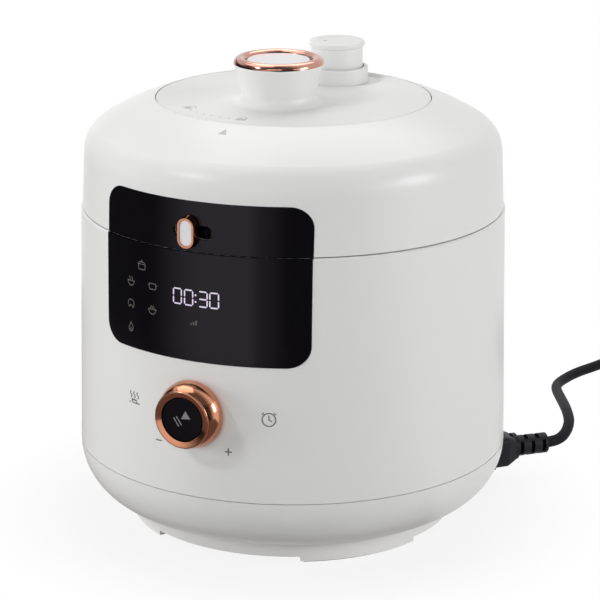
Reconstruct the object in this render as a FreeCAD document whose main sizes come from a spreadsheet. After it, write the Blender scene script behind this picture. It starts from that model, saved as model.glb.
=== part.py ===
import FreeCAD, Part
import math
import os

import Sketcher

# Driving sizes: millimetres, degrees and counts
SIZES = {
    # casing
    "parting_height": "221.5",
    "parting_gap": "0.8",
    "seam_height": "56",
    "seam_gap": "0.6",
    "body_top_radius": "145",
    "body_flare": "3",
    "shell_wall": "2.8",
    "edge_bevel": "1",
    "tongue_rise": "4",
    "tongue_wall": "1.2",
    "fit_gap": "0.2",
    "sink": "1",
    "run_gap": "0.4",
    "base_curve_drop": "1",
    "base_curve_radius": "41",
    "base_curve_end": "83.5",
    "base_ledge_wall": "3.5",
    "base_height": "9.5",
    "base_skirt_lift": "4.4",
    # base plate and feet
    "plate_wall": "2.5",
    "plate_rim_width": "3",
    "foot_count": "4",
    "foot_width": "12.5",
    "foot_spread": "45",
    "post_turn": "45",
    "foot_angle": "38.7",
    "pad_height": "1.2",
    "pad_inset": "2",
    "pad_trim": "1",
    "post_count": "3",
    "post_radius": "6",
    "vent_count": "12",
    "vent_width": "4",
    "vent_length": "18",
    "vent_gap": "7",
    # deck ring on top of the casing
    "deck_drop": "1.2",
    "deck_wall": "2.5",
    "deck_ledge": "3",
    "deck_ledge_drop": "8",
    "deck_ledge_wall": "2",
    "deck_gap": "3.5",
    # pot, liner, flange and heater
    "pot_room": "41",
    "pot_wall": "1.6",
    "heater_room": "14",
    "pot_floor_wall": "2.2",
    "pot_corner": "12",
    "pot_rim_depth": "11",
    "pot_rim_wall": "1.5",
    "pot_rim_reach": "6.5",
    "liner_gap": "4",
    "liner_wall": "1.2",
    "liner_drop": "12",
    "liner_flange_width": "8.5",
    "lug_gap": "1.5",
    "flange_wall": "2",
    "flange_rim_wall": "2",
    "lug_count": "5",
    "lug_spread": "30",
    "lug_wall": "3",
    "flange_drop": "2.5",
    "heater_inset": "16",
    "heater_wall": "8",
    "heater_hole": "17",
    "heater_post_radius": "5",
    "heater_post_inset": "26",
    "sensor_radius": "15",
    "sensor_wall": "5",
    "sensor_stem": "5",
    "sensor_stem_length": "24",
    "sensor_clip_radius": "8",
    "sensor_clip_wall": "2",
    "sensor_fit": "0.08",
    # black panel, shared by casing and lid
    "panel_half_width": "74.5",
    "panel_drop": "72.9",
    "panel_rise": "32.9",
    "panel_corner": "14",
    "panel_depth": "1.6",
    "panel_proud": "0.4",
    # boards behind the panel
    "board_setback": "17",
    "board_wall": "1.6",
    "board_half_width": "48",
    "board_drop": "19.7",
    "board_gap": "2.3",
    "board_post_radius": "3",
    "board_post_inset": "7",
    "display_drop": "33",
    "display_half_width": "29",
    "display_rise": "22",
    "display_depth": "8",
    "power_board_side_gap": "1.8",
    "power_board_width": "44",
    "power_board_lift": "8",
    "power_board_offset": "32",
    "relay_room": "16",
    "relay_width": "16",
    "relay_drop": "3",
    "coil_core_room": "3",
    "coil_core_width": "22",
    "coil_core_gap": "4.4",
    # dial and button
    "dial_drop": "34.9",
    "dial_seat_depth": "2.4",
    "dial_boss_depth": "5",
    "dial_boss_margin": "3",
    "dial_base_radius": "22.8",
    "dial_rear_radius": "20",
    "dial_rear_length": "2.5",
    "dial_undercut": "2",
    "dial_rim": "1",
    "dial_waist_radius": "17.6",
    "dial_flare_curve": "15",
    "dial_lip_radius": "19.5",
    "dial_lip_curve": "1",
    "dial_lip_drop": "3.2",
    "dial_face_inner": "15.2",
    "dial_face_dish": "1.2",
    "dial_depth": "19.35",
    "dial_stem": "5",
    "dial_stem_bore": "2.4",
    "dial_stem_fit": "0.06",
    "dial_stem_reach": "4",
    "encoder_half_width": "9",
    "encoder_depth": "8",
    "button_wall": "3.4",
    "button_recess": "1.5",
    "button_edge": "0.6",
    "button_stem": "2",
    "button_travel": "1.2",
    "button_room": "1.5",
    # mains inlet and connector
    "inlet_angle": "45",
    "inlet_lift": "13.8",
    "inlet_proud": "1.5",
    "inlet_depth": "30",
    "inlet_half_width": "16",
    "inlet_half_rise": "10.4",
    "inlet_mouth_half_width": "12.6",
    "inlet_mouth_half_rise": "8.4",
    "inlet_mouth_depth": "17",
    "inlet_pin_length": "14",
    "inlet_pin_width": "2",
    "inlet_pin_rise": "4",
    "inlet_pin_pitch": "7",
    "inlet_earth_drop": "2.5",
    "nose_gap": "0.5",
    "nose_length": "15",
    "head_half_width": "13.5",
    "head_half_rise": "11.4",
    "head_length": "11.5",
    "head_gap": "0.2",
    "head_corner": "4",
    "head_taper": "0.3",
    "neck_length": "6.7",
    "neck_half_rise": "8.4",
    "neck_half_width": "10.4",
    "collar_reach": "9.7",
    "collar_length": "3.2",
    "relief_radius": "7.6",
    "relief_end_radius": "7.4",
    "relief_length": "23.9",
    "relief_slots": "5",
    "relief_slot_width": "2.9",
    "relief_core": "3.4",
    "relief_slot_share": "0.6",
    # cord, coil, tie and plug
    "cord_diameter": "8",
    "cord_lead": "6.4",
    "coil_tight_radius": "36",
    "coil_gap": "0.6",
    "coil_half_turns": "2",
    "coil_tail": "24",
    "tie_width": "9",
    "tie_wall": "1",
    "tie_gap": "0.3",
    "plug_half_width": "17",
    "plug_length": "18",
    "plug_grip": "9",
    "plug_grip_length": "14",
    "plug_corner": "4",
    "plug_relief_radius": "6.5",
    "plug_relief_end_radius": "4.8",
    "plug_relief_length": "22",
    "plug_pin_length": "18.5",
    "plug_pin_width": "6.3",
    "plug_pin_wall": "1.6",
    "plug_pin_side": "6.9",
    "plug_pin_lift": "3.5",
    "plug_pin_slant": "30",
    "plug_earth_drop": "6.5",
    # hinge
    "hinge_offset": "11.3",
    "knuckle_radius": "8",
    "hinge_half_width": "46",
    "leaf_half_width": "30.5",
    "hinge_pin_radius": "3",
    "hinge_pin_fit": "0.05",
    "hinge_drop": "35.5",
    "leaf_rise": "27",
    "leaf_top_depth": "6",
    "hinge_wall_gap": "0.1",
    # latch
    "slider_lift": "13.1",
    "slider_side": "3.5",
    "slider_half_width": "6.8",
    "slider_half_rise": "10.9",
    "slider_taper": "1",
    "slider_proud": "5.5",
    "slider_gap": "0.5",
    "slider_floor": "2.2",
    "slider_frame": "1.4",
    "insert_recess": "0.5",
    "slot_half_width": "14.3",
    "slot_half_rise": "4.6",
    "slot_side": "1.4",
    "tongue_half_width": "3.2",
    "tongue_gap": "0.5",
    "latch_travel": "6",
    "latch_inset": "12",
    "latch_wall": "3",
    "latch_half_width": "4",
    "latch_toe": "4",
    "latch_toe_wall": "3",
    "latch_gap": "0.6",
    "latch_plate_wall": "1.5",
    "latch_plate_half_width": "22",
    "latch_plate_half_depth": "5",
    # lid
    "lid_step": "1",
    "lid_draft": "1.7",
    "lid_wall_rise": "38",
    "lid_wall": "2.6",
    "shoulder_radius": "21.7",
    "shoulder_angle": "58.5",
    "crown_radius": "163.5",
    "lid_brim": "50.1",
    "ledge_width": "5.4",
    "ledge_root": "3.1",
    "ledge_wall": "2.5",
    "lid_liner_wall": "2.2",
    "lid_liner_gap": "2.5",
    "lid_liner_rise": "14",
    "lid_liner_recess": "0.4",
    # turn plate and knob
    "groove_width": "0.5",
    "plate_rim": "3",
    "skirt_wall": "4",
    "hub_inset": "3",
    "hub_wall": "3",
    "retainer_width": "4.4",
    "retainer_wall": "2.5",
    "knob_offset": "22.5",
    "knob_waist": "24.9",
    "knob_blend": "6.5",
    "knob_seat_radius": "30.4",
    "knob_rise": "27.1",
    "knob_ring_circle": "26",
    "knob_ring_tube": "4.3",
    "knob_cap_wall": "2.3",
    "knob_cap_bevel": "0.8",
    # steam valve and float
    "valve_inset": "24.9",
    "dish_radius": "34",
    "dish_depth": "2.2",
    "dish_slope": "4",
    "collar_radius": "22",
    "collar_wall": "2.7",
    "collar_rise": "10.8",
    "collar_floor": "2",
    "collar_edge": "1.1",
    "valve_radius": "18.1",
    "valve_rim_radius": "19.35",
    "valve_rim_wall": "3.2",
    "valve_rim_edge": "1.3",
    "valve_lift": "2",
    "valve_rise": "24.6",
    "valve_dish_radius": "13",
    "valve_dish_depth": "0.6",
    "valve_hole_radius": "1.4",
    "valve_hole_side": "7.4",
    "valve_hole_front": "3.6",
    "valve_hole_depth": "4",
    "pipe_radius": "5",
    "pipe_bore": "1.5",
    "pipe_fit": "0.05",
    "pipe_rise": "13",
    "pipe_drop": "12",
    "shield_radius": "13",
    "shield_wall": "1.5",
    "shield_gap": "2",
    "float_reach": "10",
    "float_back": "20",
    "float_stem": "3",
    "float_head": "5.5",
    "float_head_wall": "2.5",
    "float_drop": "10",
    "float_rise": "12",
    "float_gap": "0.3",
    # pressure lid
    "press_overlap": "6",
    "press_wall": "1.8",
    "press_gap": "2.6",
    "press_rim_rise": "6.4",
    "press_dome_inset": "8",
    "press_dome_radius": "144",
    "press_dome_width": "66",
    "press_rise": "21",
    "press_lug_reach": "5",
    "press_lug_wall": "3.2",
    "press_lug_lift": "0.4",
    "gasket_width": "10.5",
    "gasket_gap": "0.5",
    "gasket_lip": "2.5",
}

LEFT = 1
RIGHT = -1
FULL_TURN = 360


class Size:
    """A number that also knows the expression on the sheet that it comes from."""

    def __init__(self, number, text):
        self.number = number
        self.text = text

    def __add__(self, other):
        other = as_size(other)
        return Size(self.number + other.number, f"({self.text} + {other.text})")

    def __radd__(self, other):
        return as_size(other) + self

    def __sub__(self, other):
        other = as_size(other)
        return Size(self.number - other.number, f"({self.text} - {other.text})")

    def __rsub__(self, other):
        return as_size(other) - self

    def __mul__(self, other):
        other = as_size(other)
        return Size(self.number * other.number, f"({self.text} * {other.text})")

    def __rmul__(self, other):
        return as_size(other) * self

    def __truediv__(self, other):
        other = as_size(other)
        return Size(self.number / other.number, f"({self.text} / {other.text})")

    def __neg__(self):
        return as_size(0) - self


def as_size(value):
    if isinstance(value, Size):
        return value
    return Size(float(value), repr(value))


def cosine(angle):
    return Size(math.cos(math.radians(angle.number)), f"cos({angle.text})")


def sine(angle):
    return Size(math.sin(math.radians(angle.number)), f"sin({angle.text})")


def root(value):
    return Size(math.sqrt(value.number), f"sqrt({value.text})")


def square(value):
    return value * value


class Sheet:
    """Every driving size as an attribute of its own name."""

    def __init__(self, table):
        for alias, text in table.items():
            setattr(self, alias, Size(float(text), f"dims.{alias}"))


doc = FreeCAD.newDocument("pressure_cooker")
sheet = doc.addObject("Spreadsheet::Sheet", "dims")
for row, (alias, text) in enumerate(SIZES.items(), start=1):
    sheet.set(f"A{row}", alias)
    sheet.set(f"B{row}", text)
    sheet.setAlias(f"B{row}", alias)
doc.recompute()
d = Sheet(SIZES)
nodes = {}


# Radii that follow from the casing's, from the outside inwards
d.body_foot_radius = d.body_top_radius + d.body_flare
d.lid_radius = d.body_top_radius - d.lid_step
d.lid_top_radius = d.lid_radius - d.lid_draft
d.lid_mouth_radius = d.lid_radius - d.lid_brim
d.hinge_reach = d.body_top_radius + d.hinge_offset
d.inlet_face = d.body_foot_radius + d.inlet_proud
d.latch_line = d.lid_radius - d.latch_inset
d.valve_offset = d.lid_mouth_radius - d.valve_inset
d.pot_radius = d.body_top_radius - d.pot_room
d.pot_rim_radius = d.pot_radius + d.pot_rim_reach
d.press_radius = d.pot_radius + d.press_overlap
d.press_dome_edge = d.press_radius - d.press_dome_inset
d.press_flat_radius = d.press_dome_edge - d.press_dome_width
d.hub_radius = d.press_flat_radius - d.hub_inset
d.float_side = d.press_flat_radius + d.float_reach
d.gasket_inner = d.press_radius - d.gasket_width
d.flange_radius = d.press_radius + d.press_lug_reach + d.lug_gap
d.deck_inner = d.flange_radius + d.flange_wall + d.deck_gap
d.liner_flange = d.flange_radius + d.flange_wall + d.liner_flange_width
d.lid_liner_inner = d.press_radius + d.press_lug_reach + d.lid_liner_gap
d.heater_radius = d.pot_radius - d.heater_inset
d.heater_post_circle = d.heater_radius - d.heater_post_inset

# Heights that follow from the parting line, the seam and the base
d.base_curve_height = d.seam_height - d.base_curve_drop
d.liner_floor = d.seam_height - d.liner_drop
d.pot_floor = d.liner_floor + d.heater_room
d.flange_top = d.parting_height - d.flange_drop
d.pot_rim_height = d.flange_top - d.pot_rim_depth
d.press_bottom = d.pot_rim_height + d.press_gap
d.press_rim_top = d.press_bottom + d.press_rim_rise
d.press_top = d.press_rim_top + d.press_rise
d.lid_wall_top = d.parting_height + d.lid_wall_rise
d.panel_bottom = d.parting_height - d.panel_drop
d.panel_top = d.parting_height + d.panel_rise
d.display_height = d.parting_height - d.display_drop
d.slider_height = d.parting_height + d.slider_lift
d.hinge_root = d.parting_height - d.hinge_drop
d.dial_height = d.panel_bottom - d.dial_drop
d.board_bottom = d.dial_height - d.board_drop
d.inlet_height = d.base_height + d.inlet_lift
d.power_board_height = d.base_height + d.plate_wall + d.power_board_lift

# The base curves in under the body to the round mouth that the base plate closes
base_curve_centre = d.body_foot_radius - d.base_curve_radius
base_end_z = d.base_curve_height - d.base_curve_radius * sine(d.base_curve_end)
d.base_mouth_radius = base_curve_centre + d.base_curve_radius * cosine(d.base_curve_end)
d.foot_outer = d.base_mouth_radius - d.fit_gap
d.foot_inner = d.foot_outer - d.foot_width
d.vent_outer = d.foot_inner - d.vent_gap
d.vent_inner = d.vent_outer - d.vent_length

# The power board lies between the posts of the base plate and under the liner
board_half_length = d.heater_post_circle * cosine(d.post_turn) - d.post_radius - d.power_board_side_gap
d.coil_core_length = board_half_length - d.board_post_inset - d.coil_core_room
d.coil_core_rise = d.liner_floor - d.power_board_height - d.board_wall - d.coil_core_gap
d.relay_length = board_half_length - d.relay_room
d.relay_rise = d.coil_core_rise - d.relay_drop


# Building blocks
def bind(thing, path, size):
    thing.setExpression(path, as_size(size).text)


def node(label, thing):
    """Name a finished sub-part."""
    thing.Label = label
    nodes[label] = thing
    return thing


def place(thing, x=0, y=0, z=0, turn=None, axis=(0, 0, 1)):
    """Give a piece its place, and a turn about an axis through its own origin."""
    if turn is not None:
        rotation = FreeCAD.Rotation(FreeCAD.Vector(*axis), as_size(turn).number)
        thing.Placement = FreeCAD.Placement(FreeCAD.Vector(), rotation)
        bind(thing, "Placement.Rotation.Angle", turn)
    for letter, size in zip("xyz", (x, y, z)):
        bind(thing, f"Placement.Base.{letter}", size)
    return thing


def sketch_on(body, role, name, start=None):
    plane = [item for item in body.Origin.OriginFeatures if item.Role == role][0]
    sketch = body.newObject("Sketcher::SketchObject", name)
    sketch.AttachmentSupport = (plane, "")
    sketch.MapMode = "FlatFace"
    if start is not None:
        bind(sketch, "AttachmentOffset.Base.z", start)
    return sketch


def point(corner):
    return FreeCAD.Vector(as_size(corner[0]).number, as_size(corner[1]).number, 0)


def arc_between(start, finish, radius, turn):
    """The short arc from start to finish that turns left or right."""
    chord = finish - start
    middle = start + chord * 0.5
    across = FreeCAD.Vector(-chord.y, chord.x, 0).normalize()
    rise = math.sqrt(max(radius**2 - (chord.Length / 2) ** 2, 0))
    centre = middle + across * (rise * turn)
    circle = Part.Circle(centre, FreeCAD.Vector(0, 0, 1), radius)
    first, last = (start, finish) if turn == LEFT else (finish, start)
    begin = math.atan2(first.y - centre.y, first.x - centre.x)
    end = math.atan2(last.y - centre.y, last.x - centre.x)
    if end < begin:
        end += 2 * math.pi
    return Part.ArcOfCircle(circle, begin, end)


def outline(sketch, corners):
    """Draw one closed loop. A corner is x, y and, where an arc leaves it, a radius and a side."""
    count = len(corners)
    rules = []
    bound = []
    ends = []
    for index, corner in enumerate(corners):
        start = point(corner)
        finish = point(corners[(index + 1) % count])
        if len(corner) == 2:
            edge = sketch.addGeometry(Part.LineSegment(start, finish))
            ends.append((edge, 1, 2))
            continue
        radius = as_size(corner[2])
        edge = sketch.addGeometry(arc_between(start, finish, radius.number, corner[3]))
        ends.append((edge, 1, 2) if corner[3] == LEFT else (edge, 2, 1))
        rules.append(Sketcher.Constraint("Radius", edge, radius.number))
        bound.append(radius)
    for index, (edge, first, last) in enumerate(ends):
        for kind, size in zip(("DistanceX", "DistanceY"), corners[index][:2]):
            size = as_size(size)
            rules.append(Sketcher.Constraint(kind, -1, 1, edge, first, size.number))
            bound.append(size)
    for index, (edge, first, last) in enumerate(ends):
        after, after_first, after_last = ends[(index + 1) % count]
        rules.append(Sketcher.Constraint("Coincident", edge, last, after, after_first))
    sketch.addConstraint(rules)
    for index, size in enumerate(bound):
        sketch.setExpression(f"Constraints[{index}]", size.text)


def lathe(name, corners, role="XZ_Plane", axis="V_Axis"):
    """Turn a profile about an axis of its sketch: radius and height on the upright plane."""
    body = doc.addObject("PartDesign::Body", name)
    sketch = sketch_on(body, role, name + "_profile")
    outline(sketch, corners)
    turned = body.newObject("PartDesign::Revolution", name + "_turned")
    turned.Profile = sketch
    turned.ReferenceAxis = (sketch, [axis])
    turned.Angle = 360
    return body


def lathe_along_y(name, corners):
    """Turn a profile of depth and radius about the Y direction."""
    return lathe(name, corners, "YZ_Plane", "H_Axis")


def prism(name, corners, role, start, length):
    """Draw an outline on a plane set off by start along its normal, and give it a length."""
    body = doc.addObject("PartDesign::Body", name)
    sketch = sketch_on(body, role, name + "_outline", start)
    outline(sketch, corners)
    pad = body.newObject("PartDesign::Pad", name + "_pad")
    pad.Profile = sketch
    bind(pad, "Length", length)
    return body


def loft(name, first, second, start, length):
    """Run one outline into another along X."""
    body = doc.addObject("PartDesign::Body", name)
    near = sketch_on(body, "YZ_Plane", name + "_near", start)
    outline(near, first)
    far = sketch_on(body, "YZ_Plane", name + "_far", start + length)
    outline(far, second)
    blend = body.newObject("PartDesign::AdditiveLoft", name + "_blend")
    blend.Profile = near
    blend.Sections = [far]
    return body


def sector_corners(inner, outer, half_angle, middle=0):
    """A piece of a ring, half an angle to each side of its middle."""
    low = middle - half_angle
    high = middle + half_angle
    return [
        (inner * cosine(low), inner * sine(low)),
        (outer * cosine(low), outer * sine(low), outer, LEFT),
        (outer * cosine(high), outer * sine(high)),
        (inner * cosine(high), inner * sine(high), inner, RIGHT),
    ]


def rectangle(left, right, bottom, top):
    return [(left, bottom), (right, bottom), (right, top), (left, top)]


def rounded_rectangle(half_width, bottom, top, corner):
    return [
        (corner - half_width, bottom),
        (half_width - corner, bottom, corner, LEFT),
        (half_width, bottom + corner),
        (half_width, top - corner, corner, LEFT),
        (half_width - corner, top),
        (corner - half_width, top, corner, LEFT),
        (-half_width, top - corner),
        (-half_width, bottom + corner, corner, LEFT),
    ]


def upright_stadium(half_width, half_rise, centre):
    straight = half_rise - half_width
    return [
        (half_width, centre - straight),
        (half_width, centre + straight, half_width, LEFT),
        (0, centre + half_rise, half_width, LEFT),
        (-half_width, centre + straight),
        (-half_width, centre - straight, half_width, LEFT),
        (0, centre - half_rise, half_width, LEFT),
    ]


def level_stadium(half_width, half_rise, centre):
    straight = half_width - half_rise
    return [
        (-straight, centre - half_rise),
        (straight, centre - half_rise, half_rise, LEFT),
        (half_width, centre, half_rise, LEFT),
        (straight, centre + half_rise),
        (-straight, centre + half_rise, half_rise, LEFT),
        (-half_width, centre, half_rise, LEFT),
    ]


def box(name, low, high):
    """A block between two opposite corners."""
    block = doc.addObject("Part::Box", name)
    for letter, side, start, finish in zip("xyz", ("Length", "Width", "Height"), low, high):
        bind(block, side, as_size(finish) - start)
        bind(block, f"Placement.Base.{letter}", start)
    return block


def cylinder(name, radius, length, start=(0, 0, 0), along="Z"):
    """A round bar from a start point along one of the axes."""
    bar = doc.addObject("Part::Cylinder", name)
    bind(bar, "Radius", radius)
    bind(bar, "Height", length)
    if along == "X":
        bar.Placement = FreeCAD.Placement(FreeCAD.Vector(), FreeCAD.Rotation(FreeCAD.Vector(0, 1, 0), 90))
    if along == "Y":
        bar.Placement = FreeCAD.Placement(FreeCAD.Vector(), FreeCAD.Rotation(FreeCAD.Vector(1, 0, 0), -90))
    for letter, size in zip("xyz", start):
        bind(bar, f"Placement.Base.{letter}", size)
    return bar


def fuse(name, *pieces):
    whole = doc.addObject("Part::MultiFuse", name)
    whole.Shapes = list(pieces)
    whole.Refine = True
    return whole


def cut(name, base, *tools):
    result = doc.addObject("Part::Cut", name)
    result.Base = base
    result.Tool = tools[0] if len(tools) == 1 else fuse(name + "_tools", *tools)
    result.Refine = True
    return result


def common(name, first, second):
    shared = doc.addObject("Part::Common", name)
    shared.Base = first
    shared.Tool = second
    return shared


def polar(body, feature, sketch, count):
    """Repeat a feature of a body evenly round the upright axis."""
    pattern = body.newObject("PartDesign::PolarPattern", feature.Name + "_round")
    pattern.Originals = [feature]
    pattern.Axis = (sketch, ["N_Axis"])
    pattern.Angle = 360
    bind(pattern, "Occurrences", count)
    body.Tip = pattern
    return pattern


def pad_round(body, name, corners, start, length, count):
    """Pad one outline on the level plane and repeat it round the upright axis."""
    sketch = sketch_on(body, "XY_Plane", name + "_outline", start)
    outline(sketch, corners)
    pad = body.newObject("PartDesign::Pad", name)
    pad.Profile = sketch
    bind(pad, "Length", length)
    return polar(body, pad, sketch, count)


def pocket_round(body, name, corners, start, length, count):
    """Cut one outline downwards from a level and repeat it round the upright axis."""
    sketch = sketch_on(body, "XY_Plane", name + "_outline", start)
    outline(sketch, corners)
    pocket = body.newObject("PartDesign::Pocket", name)
    pocket.Profile = sketch
    bind(pocket, "Length", length)
    return polar(body, pocket, sketch, count)


# Levels and radii that several pieces share
shell_top = d.parting_height - d.parting_gap / 2
lid_bottom = d.parting_height + d.parting_gap / 2
tongue_top = d.seam_height + d.tongue_rise
plate_top_of_base = d.base_height + d.plate_wall
deck_top = shell_top - d.deck_drop
deck_ledge_top = shell_top - d.deck_ledge_drop
liner_flange_top = d.pot_rim_height - d.pot_rim_wall
liner_inner = d.pot_radius + d.liner_gap
heater_bottom = d.pot_floor - d.heater_wall
liner_floor_top = d.liner_floor + d.liner_wall


def wall_radius(height):
    """Outer radius of the flared casing wall at a height."""
    rise = (height - d.seam_height) / (d.parting_height - d.seam_height)
    return d.body_foot_radius - (d.body_foot_radius - d.body_top_radius) * rise


def lid_wall_radius(height):
    """Outer radius of the lid's straight wall at a height."""
    rise = (height - lid_bottom) / (d.lid_wall_top - lid_bottom)
    return d.lid_radius - (d.lid_radius - d.lid_top_radius) * rise


# The lid's shoulder and crown are two tangent arcs
shoulder_x = d.lid_top_radius - d.shoulder_radius
crown_x = shoulder_x + (d.shoulder_radius - d.crown_radius) * cosine(d.shoulder_angle)
crown_z = d.lid_wall_top + (d.shoulder_radius - d.crown_radius) * sine(d.shoulder_angle)


def shoulder_end(inset):
    """Where the shoulder runs into the crown, on a surface that lies inset below the outer one."""
    reach = d.shoulder_radius - inset
    return shoulder_x + reach * cosine(d.shoulder_angle), d.lid_wall_top + reach * sine(d.shoulder_angle)


def crown_height(radius, inset):
    return crown_z + root(square(d.crown_radius - inset) - square(radius - crown_x))


plate_top = crown_height(d.lid_mouth_radius, as_size(0))
plate_under = plate_top - d.plate_rim
ledge_top = plate_under - d.run_gap
ledge_bottom = ledge_top - d.ledge_wall
ledge_inner = d.lid_mouth_radius - d.ledge_width
dish_floor = plate_top - d.dish_depth


def dome_height(radius, inset):
    """Height of the pressure lid's dome, on a surface that lies inset below the outer one."""
    centre = d.press_top - d.press_dome_radius
    return centre + root(square(d.press_dome_radius - inset) - square(radius - d.press_flat_radius))


# Casing
def base_shell():
    wall = d.shell_wall
    inner_curve = d.base_curve_radius - wall
    ledge_drop = d.base_curve_height - base_floor_top
    ledge_outer = base_curve_centre + root(square(inner_curve) - square(ledge_drop))
    lip_top = d.seam_height - d.seam_gap
    tongue_outer = d.body_foot_radius - wall + d.tongue_wall
    shell = lathe("base_shell_wall", [
        (d.body_foot_radius, lip_top),
        (d.body_foot_radius, d.base_curve_height, d.base_curve_radius, RIGHT),
        (d.base_mouth_radius, base_end_z),
        (d.base_mouth_radius, base_floor_top),
        (ledge_outer, base_floor_top, inner_curve, LEFT),
        (d.body_foot_radius - wall, d.base_curve_height),
        (d.body_foot_radius - wall, tongue_top),
        (tongue_outer, tongue_top),
        (tongue_outer, lip_top),
    ])
    opening = inlet_prism(
        "inlet_opening",
        d.inlet_half_width + d.fit_gap,
        d.inlet_half_rise + d.fit_gap,
        d.inlet_face - d.inlet_depth,
        d.inlet_depth,
    )
    return node("base_shell", cut("base_shell_cut", shell, opening))


def inlet_prism(name, half_width, half_rise, start, length, side=0, drop=0):
    """A block along the direction in which the mains inlet faces, from a radius outwards."""
    low = d.inlet_height - half_rise - drop
    high = d.inlet_height + half_rise - drop
    block = prism(name, rectangle(side - half_width, side + half_width, low, high), "YZ_Plane", start, length)
    return place(block, turn=d.inlet_angle)


def inlet_socket():
    mouth_start = d.inlet_face - d.inlet_mouth_depth
    block = inlet_prism(
        "inlet_block", d.inlet_half_width, d.inlet_half_rise, d.inlet_face - d.inlet_depth, d.inlet_depth
    )
    mouth = inlet_prism(
        "inlet_mouth", d.inlet_mouth_half_width, d.inlet_mouth_half_rise, mouth_start, d.inlet_mouth_depth
    )
    hollow = cut("inlet_hollow", block, mouth)
    pins = []
    for across in (-1, 0, 1):
        pins.append(inlet_prism(
            f"inlet_pin_{across + 2}",
            d.inlet_pin_width / 2,
            d.inlet_pin_rise / 2,
            mouth_start - d.sink,
            d.inlet_pin_length + d.sink,
            across * d.inlet_pin_pitch,
            earth_drop(across),
        ))
    return node("inlet_socket", fuse("inlet_socket_fused", hollow, *pins))


def outer_shell():
    wall = d.shell_wall
    inner_foot = d.body_foot_radius - wall
    rebate = inner_foot + d.tongue_wall + d.fit_gap
    ledge_outer = d.body_top_radius - wall
    ledge_inner_radius = ledge_outer - d.deck_ledge
    ledge_under = deck_ledge_top - d.deck_ledge_wall
    shell = lathe("outer_shell_wall", [
        (d.body_foot_radius, d.seam_height),
        (d.body_top_radius, shell_top - d.edge_bevel),
        (d.body_top_radius - d.edge_bevel, shell_top),
        (ledge_outer, shell_top),
        (ledge_outer, deck_ledge_top),
        (ledge_inner_radius, deck_ledge_top),
        (ledge_inner_radius, ledge_under),
        (wall_radius(ledge_under) - wall, ledge_under),
        (inner_foot, tongue_top),
        (rebate, tongue_top),
        (rebate, d.seam_height),
    ])
    boss = cylinder(
        "dial_boss",
        d.dial_base_radius + d.dial_boss_margin,
        d.dial_boss_depth,
        (0, -dial_seat, d.dial_height),
        "Y",
    )
    seat = cylinder(
        "dial_seat",
        d.dial_rear_radius + d.run_gap,
        d.dial_depth,
        (0, -dial_seat - d.dial_depth, d.dial_height),
        "Y",
    )
    hole = cylinder(
        "dial_hole",
        d.dial_stem + d.run_gap,
        d.dial_depth,
        (0, -dial_seat - d.sink, d.dial_height),
        "Y",
    )
    window_low = d.display_height - d.display_rise / 2
    window = box(
        "display_window",
        (-d.display_half_width, -d.body_foot_radius, window_low),
        (d.display_half_width, -board_front, window_low + d.display_rise),
    )
    recess = panel_blank("casing_recess", False, d.fit_gap, d.shell_wall)
    walls = fuse("shell_and_boss", shell, boss)
    return node("outer_shell", cut("outer_shell_cut", walls, recess, seat, hole, window))


def panel_blank(name, on_lid, margin, proud):
    """The part of a wall-hugging band that shows inside the panel's rounded outline, grown by a margin."""
    radius_at = lid_wall_radius if on_lid else wall_radius
    low = lid_bottom if on_lid else d.panel_bottom - d.panel_corner
    high = d.panel_top + d.panel_corner if on_lid else shell_top
    depth = d.panel_depth + margin
    band = lathe(name + "_band", [
        (radius_at(low) - depth, low),
        (radius_at(low) + proud, low),
        (radius_at(high) + proud, high),
        (radius_at(high) - depth, high),
    ])
    face = prism(
        name + "_face",
        rounded_rectangle(
            d.panel_half_width + margin,
            d.panel_bottom - margin,
            d.panel_top + margin,
            d.panel_corner + margin,
        ),
        "XZ_Plane",
        d.panel_half_width,
        d.body_foot_radius,
    )
    return common(name, band, face)


def control_panel():
    return node("control_panel", panel_blank("casing_panel", False, as_size(0), d.panel_proud))


def top_ring():
    outer = d.body_top_radius - d.shell_wall - d.fit_gap
    inner = d.deck_inner
    foot = d.deck_ledge - d.fit_gap
    ring = lathe("top_ring_deck", [
        (outer, deck_ledge_top),
        (outer, deck_top),
        (inner, deck_top),
        (inner, flange_rim_top),
        (inner + d.deck_wall, flange_rim_top),
        (inner + d.deck_wall, deck_top - d.deck_wall),
        (outer - foot, deck_top - d.deck_wall),
        (outer - foot, deck_ledge_top),
    ])
    slot = latch_slot("deck_slot", d.latch_half_width + d.latch_travel + d.latch_toe, deck_top - d.deck_wall)
    return node("top_ring", cut("top_ring_cut", ring, slot))


def latch_slot(name, half_width, low):
    """A slot on the latch's line, open upwards from a level."""
    half_depth = d.latch_wall / 2 + d.latch_gap
    return box(
        name,
        (-half_width - d.latch_gap, -d.latch_line - half_depth, low),
        (half_width + d.latch_gap, half_depth - d.latch_line, shell_top),
    )


def latch_plate():
    top = deck_top - d.deck_wall
    plate = box(
        "latch_plate_blank",
        (-d.latch_plate_half_width, -d.latch_line - d.latch_plate_half_depth, top - d.latch_plate_wall),
        (d.latch_plate_half_width, d.latch_plate_half_depth - d.latch_line, top),
    )
    slot = latch_slot("keeper_slot", d.latch_half_width + d.latch_travel, top - d.latch_plate_wall)
    return node("latch_plate", cut("latch_plate_cut", plate, slot))


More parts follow.
